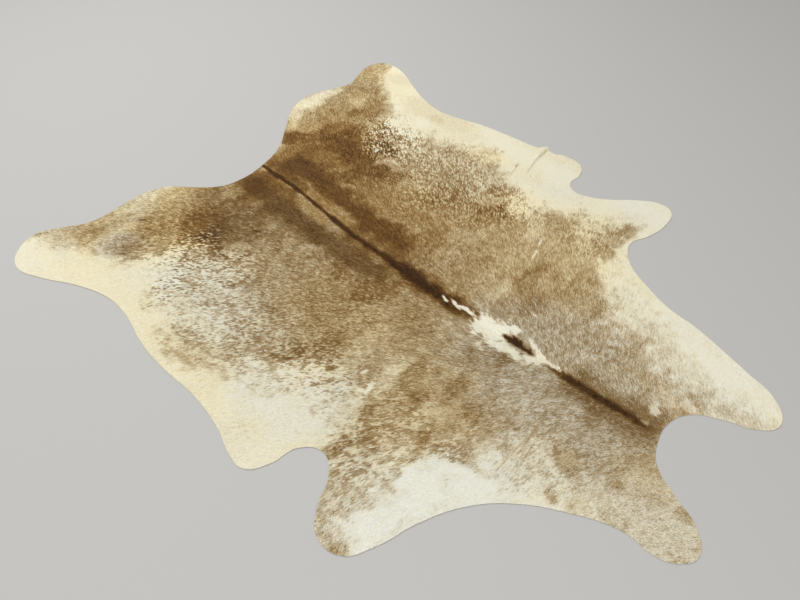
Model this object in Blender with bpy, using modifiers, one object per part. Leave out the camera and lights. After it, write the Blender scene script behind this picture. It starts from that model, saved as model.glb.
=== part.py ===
"""A whole hair-on cattle hide, laid flat with its hair side up.

Units are metres and +Z is up. The origin is on the floor, under the middle of the hide's
outline box. +Y runs along the backbone to the tail, and the neck is at -Y.
"""

import math

import bmesh
import bpy

# Sizes of the sheet
SHEET_THICKNESS = 0.003
PLAIN_SPACING = 0.11
FINE_SPACING = 0.011
GRID_MARGIN = 0.03
TRIM_HEIGHT = 0.2
TRIM_STEPS = 4

# Where the hide was trimmed: landmark, x, y. The round goes by the left side of the hide
# as it is seen from above with the tail end up, then by the neck, and back on the right.
OUTLINE = (
    ("tail cut, middle", -0.020, 0.867),
    ("tail cut, left", -0.110, 0.862),
    ("left rump, foot", -0.195, 0.885),
    ("left rump, slope", -0.272, 0.955),
    ("left rump, shoulder", -0.370, 1.060),
    ("left rump, crest", -0.490, 1.085),
    ("left hock, inner dip", -0.610, 1.079),
    ("left hock, inner bump", -0.682, 1.093),
    ("left hock, inner rise", -0.768, 1.148),
    ("left hock, end", -0.840, 1.178),
    ("left hock, corner", -0.925, 1.139),
    ("left hock, outer end", -0.960, 1.065),
    ("left hock, outer edge", -0.925, 0.953),
    ("left thigh", -0.863, 0.838),
    ("left flank fold", -0.817, 0.710),
    ("left flank, waist", -0.812, 0.600),
    ("left flank, swell", -0.841, 0.440),
    ("left belly, upper", -0.847, 0.325),
    ("left belly, middle", -0.840, 0.150),
    ("left belly, lower", -0.856, 0.020),
    ("left belly flap, outer edge", -0.882, -0.070),
    ("left belly flap, corner", -0.882, -0.128),
    ("left belly flap, under edge", -0.825, -0.172),
    ("left armpit, upper", -0.738, -0.197),
    ("left armpit, deepest", -0.701, -0.260),
    ("left armpit, lower", -0.741, -0.322),
    ("left shank, front edge", -0.818, -0.360),
    ("left shank, front corner", -0.868, -0.414),
    ("left shank, back corner", -0.858, -0.490),
    ("left shank, back edge", -0.785, -0.539),
    ("left forearm", -0.665, -0.583),
    ("left shoulder", -0.545, -0.652),
    ("left neck, root", -0.450, -0.749),
    ("left neck, middle", -0.383, -0.858),
    ("left neck, edge", -0.338, -0.957),
    ("left cheek, nick", -0.329, -1.012),
    ("left cheek, swell", -0.333, -1.058),
    ("left cheek, outer", -0.307, -1.126),
    ("left cheek, end", -0.257, -1.155),
    ("left cheek, inner", -0.196, -1.120),
    ("left cheek, inner edge", -0.152, -1.034),
    ("neck cut, left corner", -0.106, -0.965),
    ("neck cut, left", -0.045, -0.938),
    ("neck cut, right", 0.035, -0.935),
    ("neck cut, right corner", 0.103, -0.971),
    ("right cheek, inner edge", 0.148, -1.045),
    ("right cheek, inner", 0.185, -1.134),
    ("right cheek, end", 0.245, -1.177),
    ("right cheek, outer", 0.320, -1.131),
    ("right cheek, outer edge", 0.354, -1.040),
    ("right neck, edge", 0.386, -0.942),
    ("right neck, middle", 0.416, -0.838),
    ("right neck, hollow", 0.428, -0.752),
    ("right neck, root", 0.468, -0.649),
    ("right shoulder", 0.537, -0.541),
    ("right forearm, dip", 0.622, -0.502),
    ("right shank, back edge", 0.705, -0.535),
    ("right shank, back swell", 0.805, -0.553),
    ("right shank, back corner", 0.884, -0.535),
    ("right shank, end", 0.900, -0.494),
    ("right shank, front edge", 0.854, -0.402),
    ("right forearm, front", 0.787, -0.323),
    ("right armpit, lower", 0.746, -0.250),
    ("right armpit, deepest", 0.737, -0.190),
    ("right armpit, upper", 0.768, -0.154),
    ("right belly flap, under edge", 0.842, -0.154),
    ("right belly flap, corner", 0.902, -0.118),
    ("right belly flap, outer edge", 0.910, -0.062),
    ("pleat, lower foot", 0.892, 0.020),
    ("pleat, crown", 0.902, 0.044),
    ("pleat, upper foot", 0.881, 0.082),
    ("right belly, middle", 0.871, 0.180),
    ("right belly, upper", 0.851, 0.360),
    ("right flank, swell", 0.822, 0.474),
    ("right flank, waist", 0.808, 0.560),
    ("right flank fold", 0.832, 0.685),
    ("right thigh", 0.883, 0.801),
    ("right hock, outer edge", 0.942, 0.917),
    ("right hock, outer end", 0.961, 1.005),
    ("right hock, corner", 0.941, 1.073),
    ("right hock, end", 0.868, 1.101),
    ("right hock, inner rise", 0.780, 1.077),
    ("right hock, inner dip", 0.700, 1.053),
    ("right rump, outer slope", 0.601, 1.082),
    ("right rump, crest", 0.485, 1.122),
    ("right rump, shoulder", 0.373, 1.099),
    ("right rump, slope", 0.232, 0.995),
    ("right rump, foot", 0.118, 0.909),
)

# The backbone as the hide lies: x, y from the tail cut to the neck cut.
BACKBONE = (
    (0.008, 1.200),
    (0.008, 0.866),
    (0.000, 0.635),
    (-0.037, 0.309),
    (-0.040, 0.053),
    (-0.052, -0.315),
    (-0.033, -0.609),
    (-0.011, -0.917),
    (-0.011, -1.200),
)
BACKBONE_PULL = 0.5

# Low welts on either side of the backbone: distance from it, half width, height.
BACKBONE_WELTS = (
    (-0.032, 0.032, 0.0028),
    (0.032, 0.032, 0.0028),
)
BACKBONE_ENDS = (-0.90, 0.84)
BACKBONE_FADE = 0.25

# Creases that stand up from the floor: name, start x, y, end x, y, half width, height at
# the start, height at the end.
CREASES = (
    ("pleat in the right belly", 0.640, 0.022, 0.935, 0.047, 0.030, 0.000, 0.009),
    ("soft fold under the pleat", 0.690, -0.055, 0.940, -0.040, 0.036, 0.000, 0.004),
    ("upper left neck wrinkle", -0.430, -0.655, -0.130, -0.672, 0.022, 0.003, 0.000),
    ("lower left neck wrinkle", -0.450, -0.722, -0.150, -0.726, 0.022, 0.003, 0.000),
    ("right neck wrinkle", 0.100, -0.690, 0.430, -0.672, 0.022, 0.000, 0.003),
)


def blend(t):
    """Rise smoothly from 0 at t = 0 to 1 at t = 1."""
    t = min(max(t, 0.0), 1.0)
    return t * t * (3.0 - 2.0 * t)


def backbone_x(y):
    """Give the backbone's x at a place y along the hide."""
    for (x_tail, y_tail), (x_neck, y_neck) in zip(BACKBONE, BACKBONE[1:]):
        if y >= y_neck:
            return x_neck + (x_tail - x_neck) * (y - y_neck) / (y_tail - y_neck)
    return BACKBONE[-1][0]


def ridge(distance, half_width):
    """Give the height, from 0 to 1, of a soft ridge at a distance from its line."""
    return blend(1.0 - abs(distance) / half_width)


def crease_height(row, x, y):
    """Give how far one crease lifts the sheet at a point."""
    _, x0, y0, x1, y1, half_width, start_height, end_height = row
    length = math.hypot(x1 - x0, y1 - y0)
    along = ((x - x0) * (x1 - x0) + (y - y0) * (y1 - y0)) / length
    across = ((y - y0) * (x1 - x0) - (x - x0) * (y1 - y0)) / length
    share = min(max(along / length, 0.0), 1.0)
    overshoot = max(-along, along - length, 0.0)
    height = start_height + (end_height - start_height) * blend(share)
    return height * ridge(across, half_width) * ridge(overshoot, half_width)


def lift(x, y):
    """Give how far the underside stands off the floor at a point."""
    low, high = BACKBONE_ENDS
    fade = blend((y - low) / BACKBONE_FADE) * blend((high - y) / BACKBONE_FADE)
    offset = x - backbone_x(y)
    welts = sum(height * ridge(offset - place, half_width)
                for place, half_width, height in BACKBONE_WELTS)
    return welts * fade + sum(crease_height(row, x, y) for row in CREASES)


def stations(low, high, bands):
    """List places from low to high, close together inside the bands and wide elsewhere."""
    places = [low]
    while places[-1] < high:
        here = places[-1]
        inside = any(start - FINE_SPACING <= here < end for start, end in bands)
        step = FINE_SPACING if inside else PLAIN_SPACING
        ahead = [start for start, _ in bands if here < start - FINE_SPACING < here + step]
        places.append(min(ahead) if ahead and not inside else here + step)
    return places


def sheet_stations():
    """Give the grid's columns, as distances from the backbone line, and its rows."""
    xs = [x for _, x, _ in OUTLINE]
    ys = [y for _, _, y in OUTLINE]
    welt_reach = max(abs(place) + half_width for place, half_width, _ in BACKBONE_WELTS)
    crease_bands = [(min(y0, y1) - width, max(y0, y1) + width)
                    for _, _, y0, _, y1, width, _, _ in CREASES]
    columns = stations(min(xs) - GRID_MARGIN, max(xs) + GRID_MARGIN, [(-welt_reach, welt_reach)])
    rows = stations(min(ys) - GRID_MARGIN, max(ys) + GRID_MARGIN, crease_bands)
    return columns, rows


def make_collection(name):
    """Make a collection in the scene."""
    collection = bpy.data.collections.new(name)
    bpy.context.scene.collection.children.link(collection)
    return collection


def make_trim(collection):
    """Make the tall block with the hide's outline that trims the sheet."""
    curve = bpy.data.curves.new("trim_outline", "CURVE")
    curve.dimensions = "2D"
    curve.fill_mode = "BOTH"
    curve.extrude = TRIM_HEIGHT / 2
    spline = curve.splines.new("BEZIER")
    spline.bezier_points.add(len(OUTLINE) - 1)
    for point, (_, x, y) in zip(spline.bezier_points, OUTLINE):
        point.co = (x, y, 0.0)
        point.handle_left_type = "AUTO"
        point.handle_right_type = "AUTO"
    spline.use_cyclic_u = True
    spline.resolution_u = TRIM_STEPS
    outline = bpy.data.objects.new("trim_outline", curve)
    collection.objects.link(outline)
    depsgraph = bpy.context.evaluated_depsgraph_get()
    mesh = bpy.data.meshes.new_from_object(outline.evaluated_get(depsgraph))
    trim = bpy.data.objects.new("trim", mesh)
    trim.matrix_world = outline.matrix_world
    bpy.data.objects.remove(outline)
    weld = bmesh.new()
    weld.from_mesh(mesh)
    bmesh.ops.remove_doubles(weld, verts=weld.verts, dist=0.00001)
    bmesh.ops.recalc_face_normals(weld, faces=weld.faces)
    weld.to_mesh(mesh)
    weld.free()
    collection.objects.link(trim)
    trim.hide_render = True
    trim.display_type = "WIRE"
    return trim


def make_leather():
    """Make the hide's material: a pale tan coat over leather."""
    material = bpy.data.materials.new("hair_on_leather")
    material.use_nodes = True
    shader = material.node_tree.nodes["Principled BSDF"]
    shader.inputs["Base Color"].default_value = (0.48, 0.35, 0.21, 1.0)
    shader.inputs["Roughness"].default_value = 0.7
    shader.inputs["Metallic"].default_value = 0.0
    return material


def make_hide(collection, trim):
    """Make the sheet: a creased grid, given its thickness and trimmed to the outline."""
    columns, rows = sheet_stations()
    grid = bmesh.new()
    bmesh.ops.create_grid(grid, x_segments=len(columns) - 1, y_segments=len(rows) - 1, size=1.0)
    for vert in grid.verts:
        column = columns[round((vert.co.x + 1.0) / 2.0 * (len(columns) - 1))]
        y = rows[round((vert.co.y + 1.0) / 2.0 * (len(rows) - 1))]
        x = column + backbone_x(y) * max(0.0, 1.0 - abs(column) / BACKBONE_PULL)
        vert.co = (x, y, lift(x, y))
    mesh = bpy.data.meshes.new("hide")
    grid.to_mesh(mesh)
    grid.free()
    mesh.materials.append(make_leather())
    mesh.shade_smooth()
    hide = bpy.data.objects.new("hide", mesh)
    collection.objects.link(hide)
    solidify = hide.modifiers.new("Thickness", "SOLIDIFY")
    solidify.thickness = SHEET_THICKNESS
    solidify.offset = 1.0
    solidify.use_even_offset = False
    cut = hide.modifiers.new("Trim to outline", "BOOLEAN")
    cut.operation = "INTERSECT"
    cut.solver = "EXACT"
    cut.object = trim
    return hide


def main():
    """Clear the scene and build the hide."""
    for old in list(bpy.data.objects):
        bpy.data.objects.remove(old)
    hide_collection = make_collection("cowhide_rug")
    cutter_collection = make_collection("cutters")
    trim = make_trim(cutter_collection)
    make_hide(hide_collection, trim)


if __name__ == "__main__":
    main()
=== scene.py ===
"""A whole hair-on cattle hide, laid flat on a pale floor: the leather sheet and its coat of hair.

Units are metres and +Z is up. +Y runs along the backbone to the tail, and the neck is at -Y.
Every place on the hide is given in those units, seen from above with the tail end up.
"""

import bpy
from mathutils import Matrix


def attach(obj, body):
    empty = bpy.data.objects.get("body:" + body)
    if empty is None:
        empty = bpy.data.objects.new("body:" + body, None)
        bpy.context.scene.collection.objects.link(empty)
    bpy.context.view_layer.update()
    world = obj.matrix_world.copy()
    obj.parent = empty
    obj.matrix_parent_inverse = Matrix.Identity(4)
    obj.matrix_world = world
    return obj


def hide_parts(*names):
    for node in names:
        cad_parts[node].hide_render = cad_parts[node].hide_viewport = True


bl_info = {
    "name": "Cowhide Rug",
    "version": (1, 0, 0),
    "blender": (4, 5, 0),
    "location": "View3D > Sidebar > Cowhide",
    "description": "Builds a hair-on cattle hide laid flat, with its coat and a plain studio",
    "category": "Add Mesh",
}

import math

import bmesh
import bpy
import numpy as np
from bpy.props import FloatProperty, FloatVectorProperty, IntProperty, PointerProperty
from mathutils import Vector, geometry

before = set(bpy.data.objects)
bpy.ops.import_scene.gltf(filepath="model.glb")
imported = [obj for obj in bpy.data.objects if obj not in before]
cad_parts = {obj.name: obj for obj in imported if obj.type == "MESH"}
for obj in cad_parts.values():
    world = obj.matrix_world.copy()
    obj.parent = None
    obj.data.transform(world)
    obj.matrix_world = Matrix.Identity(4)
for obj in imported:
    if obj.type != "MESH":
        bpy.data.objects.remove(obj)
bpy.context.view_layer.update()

BODY = "root"
NODE = "hide"
UV_MAP = "OFBake"
HAIR_SIDE = 0

# Where the hide was trimmed: landmark, x, y. The round goes by the left side, the neck,
# and back on the right.
OUTLINE = (
    ("tail cut, middle", -0.020, 0.867),
    ("tail cut, left", -0.110, 0.862),
    ("left rump, foot", -0.195, 0.885),
    ("left rump, slope", -0.272, 0.955),
    ("left rump, shoulder", -0.370, 1.060),
    ("left rump, crest", -0.490, 1.085),
    ("left hock, inner dip", -0.610, 1.079),
    ("left hock, inner bump", -0.682, 1.093),
    ("left hock, inner rise", -0.768, 1.148),
    ("left hock, end", -0.840, 1.178),
    ("left hock, corner", -0.925, 1.139),
    ("left hock, outer end", -0.960, 1.065),
    ("left hock, outer edge", -0.925, 0.953),
    ("left thigh", -0.863, 0.838),
    ("left flank fold", -0.817, 0.710),
    ("left flank, waist", -0.812, 0.600),
    ("left flank, swell", -0.841, 0.440),
    ("left belly, upper", -0.847, 0.325),
    ("left belly, middle", -0.840, 0.150),
    ("left belly, lower", -0.856, 0.020),
    ("left belly flap, outer edge", -0.882, -0.070),
    ("left belly flap, corner", -0.882, -0.128),
    ("left belly flap, under edge", -0.825, -0.172),
    ("left armpit, upper", -0.738, -0.197),
    ("left armpit, deepest", -0.701, -0.260),
    ("left armpit, lower", -0.741, -0.322),
    ("left shank, front edge", -0.818, -0.360),
    ("left shank, front corner", -0.868, -0.414),
    ("left shank, back corner", -0.858, -0.490),
    ("left shank, back edge", -0.785, -0.539),
    ("left forearm", -0.665, -0.583),
    ("left shoulder", -0.545, -0.652),
    ("left neck, root", -0.450, -0.749),
    ("left neck, middle", -0.383, -0.858),
    ("left neck, edge", -0.338, -0.957),
    ("left cheek, nick", -0.329, -1.012),
    ("left cheek, swell", -0.333, -1.058),
    ("left cheek, outer", -0.307, -1.126),
    ("left cheek, end", -0.257, -1.155),
    ("left cheek, inner", -0.196, -1.120),
    ("left cheek, inner edge", -0.152, -1.034),
    ("neck cut, left corner", -0.106, -0.965),
    ("neck cut, left", -0.045, -0.938),
    ("neck cut, right", 0.035, -0.935),
    ("neck cut, right corner", 0.103, -0.971),
    ("right cheek, inner edge", 0.148, -1.045),
    ("right cheek, inner", 0.185, -1.134),
    ("right cheek, end", 0.245, -1.177),
    ("right cheek, outer", 0.320, -1.131),
    ("right cheek, outer edge", 0.354, -1.040),
    ("right neck, edge", 0.386, -0.942),
    ("right neck, middle", 0.416, -0.838),
    ("right neck, hollow", 0.428, -0.752),
    ("right neck, root", 0.468, -0.649),
    ("right shoulder", 0.537, -0.541),
    ("right forearm, dip", 0.622, -0.502),
    ("right shank, back edge", 0.705, -0.535),
    ("right shank, back swell", 0.805, -0.553),
    ("right shank, back corner", 0.884, -0.535),
    ("right shank, end", 0.900, -0.494),
    ("right shank, front edge", 0.854, -0.402),
    ("right forearm, front", 0.787, -0.323),
    ("right armpit, lower", 0.746, -0.250),
    ("right armpit, deepest", 0.737, -0.190),
    ("right armpit, upper", 0.768, -0.154),
    ("right belly flap, under edge", 0.842, -0.154),
    ("right belly flap, corner", 0.902, -0.118),
    ("right belly flap, outer edge", 0.910, -0.062),
    ("pleat, lower foot", 0.892, 0.020),
    ("pleat, crown", 0.902, 0.044),
    ("pleat, upper foot", 0.881, 0.082),
    ("right belly, middle", 0.871, 0.180),
    ("right belly, upper", 0.851, 0.360),
    ("right flank, swell", 0.822, 0.474),
    ("right flank, waist", 0.808, 0.560),
    ("right flank fold", 0.832, 0.685),
    ("right thigh", 0.883, 0.801),
    ("right hock, outer edge", 0.942, 0.917),
    ("right hock, outer end", 0.961, 1.005),
    ("right hock, corner", 0.941, 1.073),
    ("right hock, end", 0.868, 1.101),
    ("right hock, inner rise", 0.780, 1.077),
    ("right hock, inner dip", 0.700, 1.053),
    ("right rump, outer slope", 0.601, 1.082),
    ("right rump, crest", 0.485, 1.122),
    ("right rump, shoulder", 0.373, 1.099),
    ("right rump, slope", 0.232, 0.995),
    ("right rump, foot", 0.118, 0.909),
)
OUTLINE_STEPS = 8

# The backbone as the hide lies: x, y from the tail to the neck.
BACKBONE = (
    (0.008, 1.200),
    (0.008, 0.866),
    (0.000, 0.635),
    (-0.037, 0.309),
    (-0.040, 0.053),
    (-0.052, -0.315),
    (-0.033, -0.609),
    (-0.011, -0.917),
    (-0.011, -1.200),
)

# Low welts on either side of the backbone: distance from it, half width, height.
BACKBONE_WELTS = (
    (-0.032, 0.032, 0.0028),
    (0.032, 0.032, 0.0028),
)
BACKBONE_ENDS = (-0.90, 0.84)
BACKBONE_FADE = 0.25

# Creases that stand up from the floor: name, start x, y, end x, y, half width, height at
# the start, height at the end.
CREASES = (
    ("pleat in the right belly", 0.640, 0.022, 0.935, 0.047, 0.030, 0.000, 0.009),
    ("soft fold under the pleat", 0.690, -0.055, 0.940, -0.040, 0.036, 0.000, 0.004),
    ("upper left neck wrinkle", -0.430, -0.655, -0.130, -0.672, 0.022, 0.003, 0.000),
    ("lower left neck wrinkle", -0.450, -0.722, -0.150, -0.726, 0.022, 0.003, 0.000),
    ("right neck wrinkle", 0.100, -0.690, 0.430, -0.672, 0.022, 0.000, 0.003),
)

# The side of a crease towards the neck is steeper: its width as a share of the other side's.
FOOT_SHARE = 0.45

# The lay of the hair: place, distance from the backbone, y, and the angle in degrees that
# the hair turns outwards from the way to the tail.
LAY = (
    ("backbone, tail", 0.00, 0.85, 3),
    ("backbone, loin", 0.00, 0.30, 3),
    ("backbone, withers", 0.00, -0.30, 6),
    ("backbone, neck", 0.00, -0.85, 15),
    ("rump", 0.28, 0.85, 28),
    ("rump crest", 0.48, 1.05, 30),
    ("thigh", 0.60, 0.75, 42),
    ("hock", 0.86, 1.05, 35),
    ("loin", 0.28, 0.35, 30),
    ("flank", 0.60, 0.35, 45),
    ("belly", 0.80, 0.25, 55),
    ("belly flap", 0.86, -0.07, 70),
    ("back", 0.25, -0.05, 30),
    ("ribs", 0.50, -0.05, 48),
    ("shoulder", 0.30, -0.38, 42),
    ("elbow", 0.60, -0.30, 62),
    ("shank", 0.82, -0.46, 100),
    ("neck side", 0.30, -0.68, 85),
    ("neck centre", 0.12, -0.65, 60),
    ("throat", 0.33, -0.95, 70),
    ("cheek", 0.25, -1.12, 45),
)
LAY_REACH = 0.15
LEAST_WEIGHT = 1e-9

# Where the pale margins of the coat end: y, x of the inner limit on the left, on the right.
MARGINS = (
    (1.20, -0.87, 0.95),
    (1.10, -0.83, 0.94),
    (1.02, -0.78, 0.95),
    (0.95, -0.75, 0.82),
    (0.88, -0.70, 0.75),
    (0.80, -0.69, 0.71),
    (0.74, -0.66, 0.66),
    (0.68, -0.67, 0.63),
    (0.60, -0.72, 0.63),
    (0.50, -0.74, 0.65),
    (0.40, -0.80, 0.66),
    (0.30, -0.78, 0.69),
    (0.20, -0.755, 0.73),
    (0.10, -0.71, 0.63),
    (0.00, -0.66, 0.60),
    (-0.10, -0.61, 0.57),
    (-0.18, -0.62, 0.58),
    (-0.24, -0.68, 0.65),
    (-0.30, -0.95, 0.66),
    (-0.42, -0.95, 0.68),
    (-0.50, -0.95, 0.73),
    (-0.54, -0.74, 0.52),
    (-0.60, -0.52, 0.45),
    (-0.66, -0.44, 0.37),
    (-0.76, -0.40, 0.34),
    (-0.86, -0.37, 0.29),
    (-1.00, -0.36, 0.24),
    (-1.20, -0.40, 0.22),
)

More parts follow.
